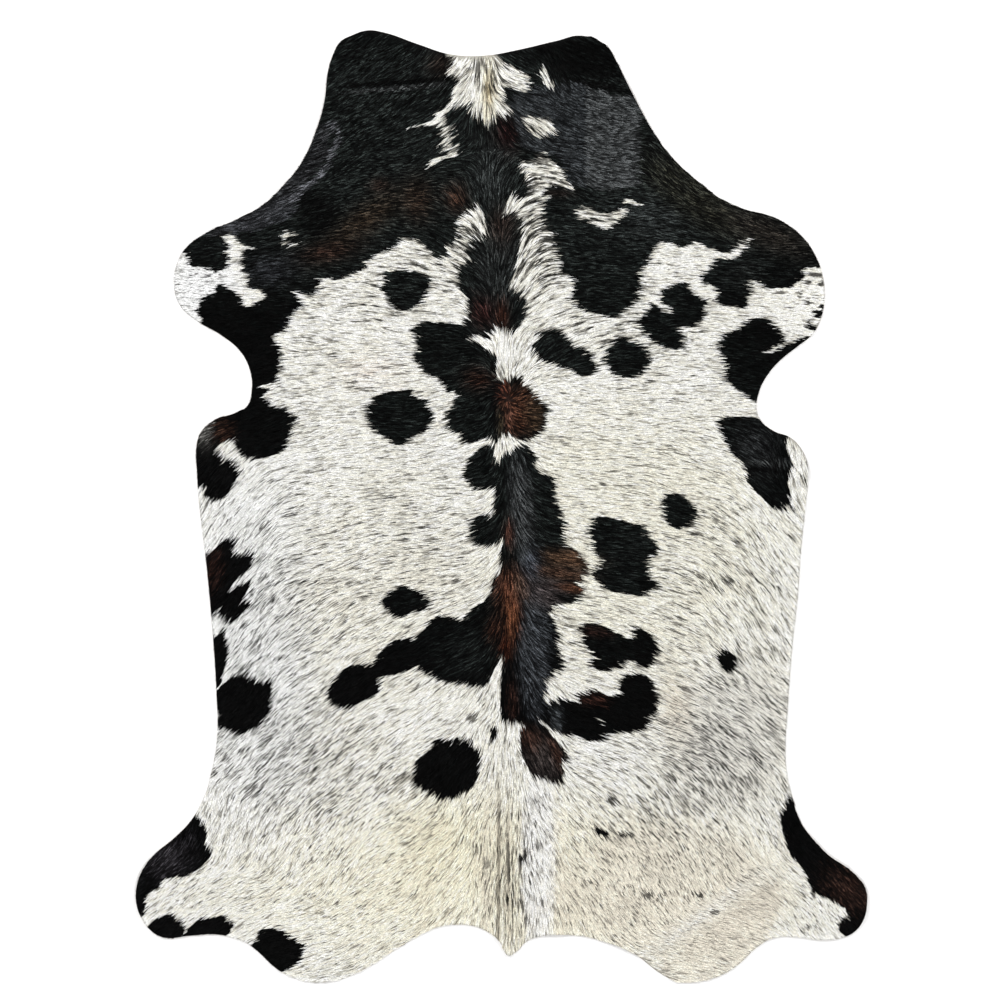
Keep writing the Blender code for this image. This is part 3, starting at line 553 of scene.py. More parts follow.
# Where the hair's colour shifts: a middle, a reach each way, a turn in degrees, how firm its
# edge is, the colour that it shifts to as the eye sees it, and how far
Tint = namedtuple("Tint", "name x y reach_x reach_y turn firm colour strength")
DARK_TINTS = [Tint(*row) for row in (
    ("bloom of the neck and shoulders", 0, 78, 90, 34, 0, 3, (31, 34, 33), 0.75),
    ("bloom of the back", 12, 12, 50, 40, 0, 2, (27, 30, 29), 0.7),
    ("rust down the spine", 1.9, -6.2, 1.2, 2.4, 0, 1, (82, 54, 45), 0.65),
    ("rust at the loin", 1.9, -18.8, 2.7, 3.5, -8, 1, (94, 61, 47), 0.75),
    ("tan right of the rust", 4.4, -18.5, 1.6, 2.6, 20, 1, (106, 86, 74), 0.6),
    ("rust below the loin", 2.5, -25.6, 1.8, 4.6, 2, 1, (100, 64, 46), 0.75),
    ("end of the rust", 0.9, -32.5, 1.1, 2, 0, 1, (76, 42, 30), 0.6),
    ("top of the lobe", 15.5, -12, 4.6, 1.6, -6, 1, (96, 73, 57), 0.7),
    ("middle of the lobe", 13.5, -15.4, 5, 1.2, -8, 1, (93, 70, 57), 0.65),
    ("foot of the lobe", 15.5, -18.7, 3.4, 0.9, -8, 1, (88, 60, 46), 0.65),
    ("rose grey in the lobe", 9.5, -20, 3.4, 3, 0, 1, (86, 78, 78), 0.7),
    # painted sheen: the black hair greyed blue where it catches the light
    ("painted blue grey sheen in the lobe", 6.6, -13, 1.9, 3.2, 0, 1, (72, 76, 84), 0.6),
    ("left of the spine", -1.8, -28.5, 1.6, 3, 0, 1, (62, 38, 28), 0.35),
    ("haunch", 21.2, -44.4, 2.6, 1.2, -10, 1, (72, 48, 42), 0.45),
    ("rear of the spine", 2.6, -44.5, 1.3, 3.8, 0, 1, (46, 32, 28), 0.5),
    ("right loin's top", 21.6, -28.8, 3, 1.1, -12, 1, (54, 37, 33), 0.45),
    ("root of the tail", 7, -53.6, 1.7, 2.6, 30, 1, (80, 58, 50), 0.6),
    ("root of the tail, low", 10.2, -58.2, 3.4, 4, 0, 1, (66, 60, 58), 0.65),
    ("right of the tail's root", 12.6, -57, 1, 3.4, 20, 1, (76, 52, 42), 0.5),
    ("saddle", 4, 22.2, 4, 5.6, 0, 2, (70, 46, 35), 0.75),
    ("saddle's right side", 7.6, 21.2, 2.6, 4.6, 0, 2, (52, 42, 33), 0.7),
    ("saddle's left side", -0.4, 26, 0.8, 2.8, 0, 1, (58, 32, 25), 0.7),
    ("saddle's lower left", -0.3, 19.2, 0.9, 2.8, 0, 1, (48, 42, 33), 0.7),
    # partly the saddle's own brown hair, partly a painted highlight along its ridge
    ("saddle's ridge, high", 1.2, 26.2, 0.7, 2.8, 8, 1, (98, 60, 48), 0.8),
    ("saddle's ridge", 2, 20.4, 0.8, 3.6, -3, 1, (104, 72, 60), 0.75),
    ("parting at the saddle", -1.9, 24.5, 0.6, 9.6, 0, 3, (7, 6, 6), 0.9),
    ("left of the saddle", -5.6, 29.2, 3, 2.4, -15, 1, (48, 30, 24), 0.5),
    ("withers", 0, 44, 1.5, 3.2, 0, 1, (70, 44, 36), 0.5),
    ("withers' left", -4.4, 45, 2.2, 3, 0, 1, (58, 36, 34), 0.55),
    ("mane", 1.4, 85.5, 3, 3.8, 0, 1, (38, 18, 18), 0.6),
    ("mane below", 0.2, 64, 2.6, 4.2, 0, 1, (54, 44, 40), 0.65),
    ("brown by the white band", 13.2, 72, 3, 0.9, -4, 1, (48, 36, 33), 0.35),
    ("brown streak on the left neck", -32, 65.5, 10, 3, 36, 1, (52, 43, 35), 0.6),
    ("dim brown below the streak", -40, 58.5, 6, 2.2, 10, 1, (46, 32, 27), 0.55),
    ("brown spot on the left neck", -28, 73.8, 2, 1.6, 0, 1, (58, 46, 41), 0.45),
    ("brown spot by the mane", -19.3, 70.2, 3, 4, 0, 1, (56, 44, 36), 0.55),
    ("brown spot at the mane", -10.4, 71, 2.2, 2.8, 0, 1, (60, 43, 35), 0.6),
    ("blue grey of the left foreleg", -53, 54.5, 5.5, 3.2, 10, 1, (44, 45, 48), 0.55),
    # painted shade: the black hair darkened in the hollow of the left shoulder
    ("painted shade in the hollow of the left shoulder", -42.5, 67, 5.2, 6, 0, 2, (7, 6, 6), 0.8),
    ("grey below the crescent", 34, 66, 8, 5, -10, 1, (50, 53, 53), 0.5),
    ("black of the right neck's corner", 19, 102.5, 14, 5, -12, 2, (5, 6, 6), 0.95),
    ("right neck beyond its bend", 44, 72, 14, 5.5, -38, 2, (37, 37, 32), 0.7),
    # partly the hair's own brown, partly a painted sheen where the black hair catches the light
    ("right foreleg's brown, with a painted sheen", 61, 63, 9, 3.2, -22, 1, (50, 46, 42), 0.6),
    ("grey of the withers", 0, 55, 6, 7, 0, 2, (52, 54, 54), 0.4),
    ("brown left of the tuft", -14, 101.5, 2.6, 2.6, 0, 1, (46, 37, 33), 0.5),
    ("grey of the mane", -2.5, 75.5, 3.4, 6, 0, 1, (58, 61, 61), 0.5),
    ("sheen by the spine", 4.6, 0, 2.7, 12, 4, 2, (68, 70, 71), 0.6),
    ("sheen down the back", 7.6, -34, 3.6, 13, 0, 2, (68, 71, 75), 0.6),
    ("sheen at the haunch", 12.8, -49, 0.9, 2.6, 0, 1, (80, 84, 87), 0.6),
    ("sheen of the left wing", -8, -34, 6, 5, 0, 1, (30, 33, 32), 0.6),
    ("left hind leg's grey", -76, -80.5, 5, 3.4, 30, 1, (54, 52, 55), 0.6),
    ("left belly's brown", -66.4, -14, 2, 5, 0, 1, (44, 30, 26), 0.5),
    ("left elbow's brown", -64.2, 17.5, 2.2, 2, 0, 1, (58, 42, 35), 0.55),
    ("left elbow's streaks", -68.2, 17, 1.2, 2.6, 0, 1, (140, 138, 134), 0.6),
    ("right hind leg's brown", 79.5, -88, 5, 4.4, -40, 1, (54, 40, 35), 0.55),
    # painted sheen: the black hair greyed where it catches the light
    ("painted sheen of the right elbow", 58.5, 13.5, 4.6, 5.6, 30, 1, (42, 43, 44), 0.5),
    # painted shadow in the elbow's crease, and a painted highlight on the fold above it
    ("painted shadow in the right elbow's crease", 61, 8.5, 6.5, 0.7, -1, 2, (0, 0, 0), 1),
    ("painted highlight over the elbow's crease", 61, 9.9, 6, 0.5, -1, 1, (58, 60, 60), 0.7),
    # painted shadows along the neck's crease lines, and a painted highlight under the left one
    ("crease line left of the neck", -23, 97.4, 14, 0.7, 4.6, 2, (0, 0, 0), 1),
    ("painted highlight under the left crease", -23, 96.1, 13, 0.5, 4.6, 2, (62, 64, 64), 0.9),
    ("crease line right of the neck", 21.5, 96.7, 10, 0.8, -12, 2, (0, 0, 0), 1),
    # painted sheen: the black hair of the right upper foreleg greyed where it catches the light
    ("right upper foreleg", 55.5, 54, 3.4, 3, 0, 1, (46, 48, 47), 0.3),
)]
PALE_TINTS = [Tint(*row) for row in (
    ("grey of the left side", -58, -30, 16, 44, 0, 2, (244, 246, 244), 0.8),
    ("white of the left foreleg", -70, 50, 10, 9, 0, 2, (255, 255, 254), 0.9),
    ("cream over the rump", 0, -88, 60, 20, 0, 2, (242, 233, 210), 0.8),
    ("cream of the left haunch", -12, -76, 13, 14, 0, 1, (238, 229, 201), 0.6),
    ("cream inside the tuft", -2.9, 95.5, 1.6, 7.5, 0, 1, (238, 224, 188), 0.85),
    ("olive heart of the tuft", -3, 95.6, 0.8, 1.6, 0, 1, (128, 114, 82), 0.8),
    ("pink of the left shoulder", -30, 31, 7, 4, 0, 1, (246, 232, 222), 0.6),
    # painted highlight on the band by the tail's soft fold, painted shade beside it and along the
    # pleats
    ("painted light on the band right of the tail", 8.5, -82, 4.2, 22, 0, 4, (250, 248, 244), 0.75),
    ("shade right of the band", 14.2, -90, 1.8, 10, 0, 1, (214, 207, 192), 0.5),
    ("shade left of the tail", -3.6, -88, 1.4, 16, 0, 1, (206, 200, 186), 0.6),
    ("pleat left of the tail", -0.7, -84, 0.45, 22, 0, 2, (96, 90, 78), 0.75),
    ("pleat right of the tail", 1.6, -84, 0.45, 14, 0, 2, (128, 122, 110), 0.6),
    ("grey on the right flank", 52, -52, 16, 18, 0, 2, (218, 216, 209), 0.8),
    ("tan by the haunch", 40, -44, 4, 9, 0, 1, (226, 214, 196), 0.6),
    ("right rump", 40, -88, 28, 17, 0, 3, (222, 215, 201), 0.75),
    # painted highlight on the rise along the rump's crease
    ("painted highlight along the rump's crease", 45, -95, 17, 1.6, 35, 1, (246, 243, 236), 0.5),
    ("right side", 30, -8, 34, 32, 0, 3, (240, 235, 218), 0.75),
    ("left centre", -28, -20, 22, 26, 0, 2, (240, 235, 221), 0.7),
)]

# Sheens with a sharper limit, where the hide bends: a colour, how far, and a loop
Field = namedtuple("Field", "name colour strength loop")
FIELDS = [Field(*row) for row in (
    ("right neck, near the mane", (46, 48, 50), 0.75, (
        (2.5, 95), (6, 96.2), (12.2, 97), (18.6, 96.7), (19.6, 95.5), (19.6, 75), (18.6, 73.6),
        (15.5, 75), (13, 80), (5, 82.5), (3, 88),
    )),
    ("right neck, up to its bend", (70, 72, 73), 0.75, (
        (19.6, 95.5), (20.4, 96), (25, 95), (30.4, 94), (31.6, 93), (31.9, 84), (31.5, 75),
        (31, 73.6), (25, 72.8), (20.4, 73.2), (19.6, 74.2), (19.6, 85),
    )),
    ("left neck outside its sheen", (46, 46, 48), 0.6, (
        (-43, 88), (-39.8, 86.5), (-39.8, 82), (-41.5, 78.5), (-44.5, 75.2), (-49.5, 71), (-52, 67),
        (-60, 63), (-67, 62.5), (-62, 66.5), (-55, 70), (-50, 75), (-46, 80),
    )),
    ("sheen of the left shoulder", (58, 59, 62), 0.7, (
        (-50, 71.3), (-46.8, 69.5), (-49.5, 66), (-55, 63.8), (-62, 62.6), (-64, 64), (-58, 66.8),
    )),
    ("sheen of the left neck", (86, 87, 91), 0.75, (
        (-39.2, 88.8), (-37.6, 87.2), (-37.3, 84.3), (-38.5, 81), (-40, 77.6), (-43, 74.1),
        (-47.7, 70.2), (-49.4, 70.6), (-44, 75), (-41, 78.2), (-39.5, 81.6), (-38.4, 84.7),
        (-38.6, 86.4), (-39.9, 87.7),
    )),
)]
PALE_FIELDS = [Field(*row) for row in (
    ("right rump beyond its crease", (219, 211, 196), 0.55, (
        (35, -110), (39, -104), (47, -97.5), (55, -91.5), (61, -86.8), (64.5, -89), (63, -95),
        (60, -100), (54, -106), (48, -110),
    )),
)]

# How many of the white coat's hairs are grey, in places: the share at the middle of each
Fleck = namedtuple("Fleck", "x y reach_x reach_y share")
FLECKS = [Fleck(*row) for row in (
    (-52, -30, 13, 24, 0.11), (-50, -60, 18, 12, 0.2), (-30, -62, 16, 10, 0.11),
    (-45, 25, 12, 16, 0.05), (-26, -10, 18, 14, 0.04), (-45, -86, 24, 8, 0.04),
    (52, -22, 14, 24, 0.09), (48, -60, 17, 12, 0.21), (34, -72, 18, 9, 0.11),
    (40, 18, 18, 14, 0.02), (32, -88, 18, 10, 0.05), (2, -80, 6, 16, 0.06), (70, -95, 6, 4, 0.05),
    (52, -98, 9, 7, -0.1),
)]

HAIR_BLACK = (6, 7, 7)
HAIR_WHITE = (252, 248, 235)
FLECK_GREY = (64, 61, 58)
EYE_TO_LIGHT = 2.2


def as_light(colour):
    """A colour as the eye sees it, 0 to 255, as the light that it sends back."""
    return (np.asarray(colour, float) / 255.0) ** EYE_TO_LIGHT


def inside(x, y, loop):
    """Which of the points lie in a closed loop."""
    found = np.zeros(x.shape, bool)
    low, high = np.min(loop, axis=0), np.max(loop, axis=0)
    near = np.flatnonzero((x > low[0]) & (x < high[0]) & (y > low[1]) & (y < high[1]))
    near_x, near_y = x[near], y[near]
    crossed = np.zeros(near.shape, bool)
    last_x, last_y = loop[-1]
    for next_x, next_y in loop:
        if next_y != last_y:
            spanned = (last_y > near_y) != (next_y > near_y)
            share = (near_y - last_y) / (next_y - last_y)
            crossed ^= spanned & (near_x < last_x + share * (next_x - last_x))
        last_x, last_y = next_x, next_y
    found[near] = crossed
    return found


# The curve through a loop has a point at each of these shares of the way to the next one
STRETCH_PARTS = (0.0, 0.33, 0.67)


def rounded(loop, overhang=0.0):
    """A smooth closed curve through a loop's points, let out all round by an overhang."""
    here = np.array(loop, float)
    before, after, beyond = (np.roll(here, places, axis=0) for places in (1, -1, -2))
    curve = []
    for part in STRETCH_PARTS:
        first = 0.5 * part * (after - before)
        second = part ** 2 * (before - 2.5 * here + 2.0 * after - 0.5 * beyond)
        third = part ** 3 * (1.5 * (here - after) + 0.5 * (beyond - before))
        curve.append(here + first + second + third)
    curve = np.stack(curve, axis=1).reshape(-1, 2)
    ahead, behind = np.roll(curve, -1, axis=0), np.roll(curve, 1, axis=0)
    run = ahead - behind
    side = np.sign(np.sum(curve[:, 0] * ahead[:, 1] - ahead[:, 0] * curve[:, 1]))
    away = side * np.stack((run[:, 1], -run[:, 0]), axis=1)
    return curve + overhang * away / (np.hypot(run[:, 0], run[:, 1])[:, None] + 1e-9)


def spot(x, y, row, turn=0.0, firm=1):
    """How strongly a row of a table counts at each point: 1 at its middle, fading outwards."""
    cos, sin = math.cos(math.radians(turn)), math.sin(math.radians(turn))
    across = ((x - row.x) * cos + (y - row.y) * sin) / row.reach_x
    along = ((y - row.y) * cos - (x - row.x) * sin) / row.reach_y
    return np.exp(-((across ** 2 + along ** 2) ** firm))


# Clouds are drawn from a table of chances, and each kind of cloud from its own seed
CLOUD_SIZE = 701
FLECK_SEED = 11
SWIRL_SEED = 21
PALENESS_SEED = 41


def cloud(x, y, grain, seed):
    """Soft random patches, from -1 to 1 and about a grain across."""
    table = np.random.default_rng(seed).uniform(-1.0, 1.0, (CLOUD_SIZE, CLOUD_SIZE))
    column, row = np.floor(x / grain).astype(int), np.floor(y / grain).astype(int)
    right, up = x / grain - column, y / grain - row
    right, up = right * right * (3.0 - 2.0 * right), up * up * (3.0 - 2.0 * up)
    left_column, right_column = column % CLOUD_SIZE, (column + 1) % CLOUD_SIZE
    low_row, high_row = row % CLOUD_SIZE, (row + 1) % CLOUD_SIZE
    low = table[low_row, left_column] * (1 - right) + table[low_row, right_column] * right
    high = table[high_row, left_column] * (1 - right) + table[high_row, right_column] * right
    return low * (1 - up) + high * up


# How far the hairs of a patch stand out over its edge
BLACK_OVERHANG = 0.16
WHITE_OVERHANG = -0.1


def is_black(x, y):
    """Which points of the coat are black: in a black patch, and in no white one."""
    black = np.zeros(x.shape, bool)
    for loop in BLACK_PATCHES.values():
        black |= inside(x, y, rounded(loop, BLACK_OVERHANG))
    for loop in WHITE_PATCHES.values():
        black &= ~inside(x, y, rounded(loop, WHITE_OVERHANG))
    return black


def tinted(x, y, colour, tints, unevenness):
    """A plain colour at each point, shifted by a table of tints, more in some hairs than others."""
    light = np.tile(as_light(colour), (x.size, 1))
    for tint in tints:
        share = tint.strength * spot(x, y, tint, tint.turn, tint.firm) * unevenness
        light += (as_light(tint.colour) - light) * np.clip(share, 0.0, 1.0)[:, None]
    return light


def add_fields(light, fields, x, y):
    """Shift the colours inside each field's loop."""
    for field in fields:
        share = inside(x, y, rounded(field.loop))[:, None] * field.strength
        light += (as_light(field.colour) - light) * share


# A chance times one of these, less its whole part, is another chance
SECOND_CHANCE = 17.0
THIRD_CHANCE = 91.0
# How far the hairs blur a field's edge; the least of a dark tint that a hair takes, and how
# much more it may take; and how much a mark's spot counts at the mark's edge
FIELD_BLUR = 0.4
TINT_LEAST = 0.3
TINT_MORE = 1.4
MARK_EDGE = 0.37
# The share of grey hairs where the table says nothing; the size of the patches in which they
# come, and how much they do so; how soon a hair is all grey, and how grey that is
EVEN_FLECKS = 0.008
FLECK_CLOUD = 2.2
FLECK_PATCHINESS = 0.95
FLECK_EDGE = 2.0
GREYEST = 0.9


def coat_colour(x, y, chance):
    """The hair's colour at each point in centimetres; chance, 0 to 1, picks the grey hairs."""
    black = is_black(x, y)
    uneven = SECOND_CHANCE * chance % 1.0
    blurred_x = x + FIELD_BLUR * (2.0 * uneven - 1.0)
    blurred_y = y + FIELD_BLUR * (2.0 * (THIRD_CHANCE * chance % 1.0) - 1.0)
    dark = tinted(x, y, HAIR_BLACK, DARK_TINTS, TINT_LEAST + TINT_MORE * uneven)
    add_fields(dark, FIELDS, blurred_x, blurred_y)
    pale = tinted(x, y, HAIR_WHITE, PALE_TINTS, 1.0)
    add_fields(pale, PALE_FIELDS, blurred_x, blurred_y)
    flecked = np.full(x.size, EVEN_FLECKS)
    for fleck in FLECKS:
        flecked += fleck.share * spot(x, y, fleck)
    flecked = flecked.clip(0.0) * (1.0 + FLECK_PATCHINESS * cloud(x, y, FLECK_CLOUD, FLECK_SEED))
    grey = np.clip(FLECK_EDGE * (flecked - chance) / (flecked + 1e-6), 0.0, GREYEST)[:, None]
    pale += (as_light(FLECK_GREY) - pale) * grey
    for mark in SMALL_MARKS:
        near = (spot(x, y, mark) > MARK_EDGE)[:, None] * mark.strength
        pale += (as_light(HAIR_BLACK) - pale) * near
    return np.where(black[:, None], dark, pale), black, np.where(black, 0.0, grey[:, 0])


# ---- The way the hair lies --------------------------------------------------------------
# Hair grows away from a whorl behind the withers: up over the neck before it, down and
# outwards behind it, and the coat is brushed that way. Each row is a place and the heading
# of its hair, in degrees from the right, turning towards the neck.
Lie = namedtuple("Lie", "x y heading")
HAIR_LIES = [Lie(*row) for row in (
    # left side, from the foreleg to the hind leg
    (-40, 45, 178), (-25, 55, 177), (-20, 60, 168), (-40, 30, 183), (-50, 15, 198), (-60, 5, 225),
    (-66, -2, 240), (-60, -5, 230), (-40, -5, 197), (-20, -5, 184), (-60, -30, 230),
    (-40, -30, 215), (-20, -18, 192), (-60, -60, 223), (-40, -60, 218), (-20, -50, 212),
    (-65, -70, 250), (-60, -75, 243), (-40, -80, 232), (-20, -75, 217), (-60, -90, 205),
    (-45, -100, 195), (-30, -95, 210), (-72, -90, 217), (-10, -85, 227), (-65, 55, 185),
    (-60, 30, 195), (-25, 20, 180), (-30, 8, 186), (-40, 12, 191), (-30, -15, 195), (-13, 6, 182),
    (-13, -12, 188), (-15, -26, 203), (-28, -28, 207),
    # right side, from the foreleg to the hind leg
    (40, 55, -3), (60, 50, -5), (30, 20, -2), (50, 25, -5), (50, 12, -17), (55, 10, -32),
    (58, 5, -40), (66, 10, -75), (60, -5, -52), (50, -4, -32), (45, 4, -14), (40, -5, -14),
    (22, -2, -4), (30, -12, -6), (50, -20, -48), (60, -25, -57), (40, -22, -22), (50, -50, -35),
    (60, -50, -42), (40, -50, -22), (20, -58, -22), (50, -70, -52), (60, -70, -57), (40, -68, -48),
    (25, -70, -46), (15, -70, -50), (45, -83, -58), (35, -88, -55), (18, -83, -50), (10, -85, -70),
    (50, -96, -15), (42, -103, -14), (57, -92, -20), (65, -90, -45), (72, -95, -50), (75, -86, -50),
    (20, 18, -3), (15, 8, -5), (17, -2, -6), (18, -26, -10), (18, -34, -12), (25, -40, -20),
    # spine, from the whorl to the tail
    (1, 37, 88), (-3, 38.5, 145), (4, 38.5, 50), (7, 41, 26), (12, 44, 18), (-0.5, 32, 112),
    (1.5, 33, 92), (4, 32, 62), (5.5, 29.5, 40), (8, 29.5, 12), (12, 26, -4), (1, 29, 96),
    (1.4, 26, 98), (3, 27.5, 62), (5, 26, 25), (2.9, 25.6, 44), (3.1, 24.4, 12), (3, 22.8, -20),
    (2.8, 21, -30), (2.8, 19.2, -32), (2.8, 17.6, -38), (0.6, 26, 122), (0.4, 24.6, 232),
    (0.5, 23, 250), (0.5, 21, 256), (0.5, 19, 260), (0.5, 17.6, 264), (6, 22, -2), (1.7, 23.4, -78),
    (1.7, 21.8, -80), (1.7, 20, -84), (1.7, 18.4, -88), (5, 24, 6), (-1.4, 23, 232),
    (-1.4, 20, 236), (4, 20, -6), (8, 19.5, -2), (5, 17.3, -14), (-0.5, 27.2, 190), (-5, 26, 203),
    (-5, 30, 196), (-5, 20, 200), (-9, 24, 192), (-10, 18, 195), (-8, 33, 190), (-15, 38, 176),
    (0.3, 15, -92), (-1.6, 14, 248), (2.2, 14.8, -62), (4.5, 14.6, -30), (8, 14.5, -9),
    (-4.5, 14.9, 197), (-12, 13, 188), (12, 20, -2), (2.5, 11, -78), (2.5, -44, -90),
    (-5, -46, 232), (-12, -48, 215), (10, -46, -45), (17, -47, -20), (-2, -54, 258), (-8, -58, 232),
    (8, -55, -60), (2, -62, -90), (-6, -66, 245), (9, -62, -65), (2, -78, -90), (-4, -85, 262),
    (3, -92, -90),
    # mane, from the withers to the neck
    (0, 47, 90), (-6, 49, 136), (-6, 57, 138), (-1, 56, 92), (1.5, 56, 72), (-8, 53, 152),
    (-11, 52, 172), (-12, 47, 179), (-10, 56.5, 157), (-12, 60, 152), (-4, 65.5, 112),
    (-7, 66, 148), (-9.5, 64.5, 170), (-8, 72, 118), (-2, 72, 98), (2, 74, 62), (1.5, 70, 66),
    (4, 70.5, 35), (7, 71, 6), (10, 70.5, 0), (6, 67, 18), (9, 67.5, -2), (5.2, 64, 40),
    (8, 64, 14), (10.5, 62, -4), (4.6, 60, 66), (6.5, 58, 42), (9, 58, 22), (12, 57, -5),
    (4, 54, 64), (6, 53, 46), (10, 53, 20), (14, 53, 2), (4, 49.5, 55), (8, 48, 34), (12, 48, 18),
    (16, 48, 8), (15, 66, -5), (18, 58, -8), (22, 52, -4),
    # neck: down and outwards from its end, and outwards below
    (-9, 99, 222), (-9, 94, 228), (-5.5, 97, 262), (-3, 90, 276), (-3, 100, 274), (3, 98, -16),
    (1, 94, -32), (0, 91, -48), (1, 101.5, -32), (6, 97, -14), (10, 98, -62), (9, 87, -37),
    (8, 92, -25), (14, 90, -24), (14, 83, -15), (8, 79, -12), (12, 76, -16), (16, 73, -30),
    (20, 86, -16), (25, 90, -12), (25, 79, -5), (30, 84, -3), (28, 96, -20), (20, 103, -24),
    (36, 82, -46), (42, 76, -40), (48, 70, -22), (35, 67, -8), (22, 68, -8), (28, 68, -4),
    (-12.5, 84, 212), (-15, 79, 205), (-16, 88, 208), (-20, 95, 215), (-30, 101, 212),
    (-35, 85, 205), (-45, 70, 198), (-25, 75, 188), (-12, 76, 178),
)]
# Beside the spine the hair turns outwards within a hand's width: the distance across, and
# the heading behind the saddle and at the loin
SPINE_LIES = (
    (-8.0, 184, 205), (-4.5, 194, 214), (-1.6, 222, 240), (2.2, -80, -90), (5.5, -48, -62),
    (8.5, -22, -36), (12.0, -8, -18),
)
SPINE_PLACES = (6, -2, -10, -18, -26, -34)
for step, along in enumerate(SPINE_PLACES):
    for across, behind_saddle, at_loin in SPINE_LIES:
        turn = (at_loin - behind_saddle) * step / (len(SPINE_PLACES) - 1)
        HAIR_LIES.append(Lie(across, along, behind_saddle + turn))
# How softly one row gives way to the next; how many degrees the hair swirls to and fro, and
# over what distance
LIE_BLEND = 1.5
SWIRL = 7.0
SWIRL_SIZE = 3.0


def turned(face_x, face_y, angle):
    """Directions turned by an angle in radians."""
    cos, sin = np.cos(angle), np.sin(angle)
    return face_x * cos - face_y * sin, face_x * sin + face_y * cos


def heading(x, y):
    """The unit direction of the hair at each point, blended from the rows around it."""
    face_x, face_y = np.zeros(x.shape), np.zeros(x.shape)
    for row in HAIR_LIES:
        apart = (x - row.x) ** 2 + (y - row.y) ** 2 + LIE_BLEND ** 2
        weight = 1.0 / (apart * apart * apart)
        face_x += weight * math.cos(math.radians(row.heading))
        face_y += weight * math.sin(math.radians(row.heading))
    length = np.hypot(face_x, face_y) + 1e-30
    swirl = np.radians(SWIRL) * cloud(x, y, SWIRL_SIZE, SWIRL_SEED)
    return turned(face_x / length, face_y / length, swirl)


# ---- The skin's hair side ---------------------------------------------------------------
# The skin between the locks, on the same leather: the short roots of the hair show there in
# the shade, in the patch's own colour but darker.
ROOT_SHADE = 0.42


def hair_side_material():
    """The short roots of the hair on the skin."""
    material, tree, shader = new_material(
        "hair roots", {"Roughness": 0.8, "Specular IOR Level": 0.1}
    )
    colour = add_node(tree, "Attribute", {}, attribute_name="coat_colour")["Color"]
    place = add_node(tree, "TexCoord", {})["Object"]
    stubble = add_node(tree, "TexNoise", {"Vector": place, "Scale": 700.0, "Detail": 3.0})
    shade = add_node(
        tree, "Mix", {"Factor": 0.5, "A": colour, "B": stubble["Color"]},
        data_type="RGBA", blend_type="MULTIPLY",
    )
    bumps = add_node(tree, "Bump", {
        "Strength": 0.6, "Distance": 0.001, "Height": stubble["Fac"],
    })
    feed(shader, {"Base Color": shade["Result"], "Normal": bumps["Normal"]})
    return material


def paint(mesh, colours):
    """Store a colour on each of a mesh's points, for its hair to show."""
    rgba = np.ones((len(colours), 4), np.float32)
    rgba[:, :3] = colours
    layer = mesh.color_attributes.new("coat_colour", "FLOAT_COLOR", "POINT")
    layer.data.foreach_set("color", rgba.ravel())


skin = np.array([vert.co[:] for vert in leather_mesh.vertices]) / CENTIMETRE
skin_colours, _, _ = coat_colour(skin[:, 0], skin[:, 1], np.ones(len(skin)))
paint(leather_mesh, skin_colours * ROOT_SHADE)
leather_mesh.materials.append(hair_side_material())
leather_mesh.materials.append(suede_material())

# ---- The coat ---------------------------------------------------------------------------
# The animal's hair, about 2 cm long and lying down along the skin in fine pointed locks that
# overlap like thatch. A lock is a slim closed leaf: a root in the skin, a left and a right
# side, and a raised tip. The coat is one growth; it is in five strips from left to right.
LOCK_SPACING = 0.00345
LOCK_LENGTH = 0.024
LOCK_WIDTH = 0.0025
WIDEST_AT = 0.38
ROOT_HEIGHTS = (0.0004, 0.0016)
SIDE_HEIGHT = 0.0005
TIP_HEIGHTS = (0.0018, 0.0042)
STRIP_NAMES = ("far_left", "left", "middle", "right", "far_right")

# Where the hair is longer or shorter than usual, as a multiple of its length
Growth = namedtuple("Growth", "name x y reach_x reach_y times")
GROWTHS = [Growth(*row) for row in (
    ("tuft", -3, 94, 9, 9, 1.35), ("whorl", 1, 36, 6, 6, 1.2), ("mane", 4, 62, 9, 16, 1.1),
    ("spine", 2.5, -15, 3.5, 30, 1.1), ("saddle", 2.5, 22, 6, 7, 0.55),
    ("left of the neck", -32, 85, 15, 26, 0.65), ("right of the neck", 27, 85, 17, 26, 0.65),
    ("tail", 1, -92, 5, 14, 1.3), ("left hind leg", -76, -88, 9, 10, 0.65),
    ("right hind leg", 76, -92, 9, 10, 0.6), ("left rump", -32, -88, 28, 20, 0.7),
    ("right rump", 36, -88, 26, 20, 0.65), ("left foreleg", -70, 51, 8, 8, 0.5),
    ("right foreleg", 71, 48, 9, 9, 0.5), ("left crease", -23.5, 96.4, 13, 1.5, 0.5),
    ("right crease", 21.5, 97, 9, 2.5, 0.5), ("flank crease", 61, 8.4, 7, 1.2, 0.5),
)]

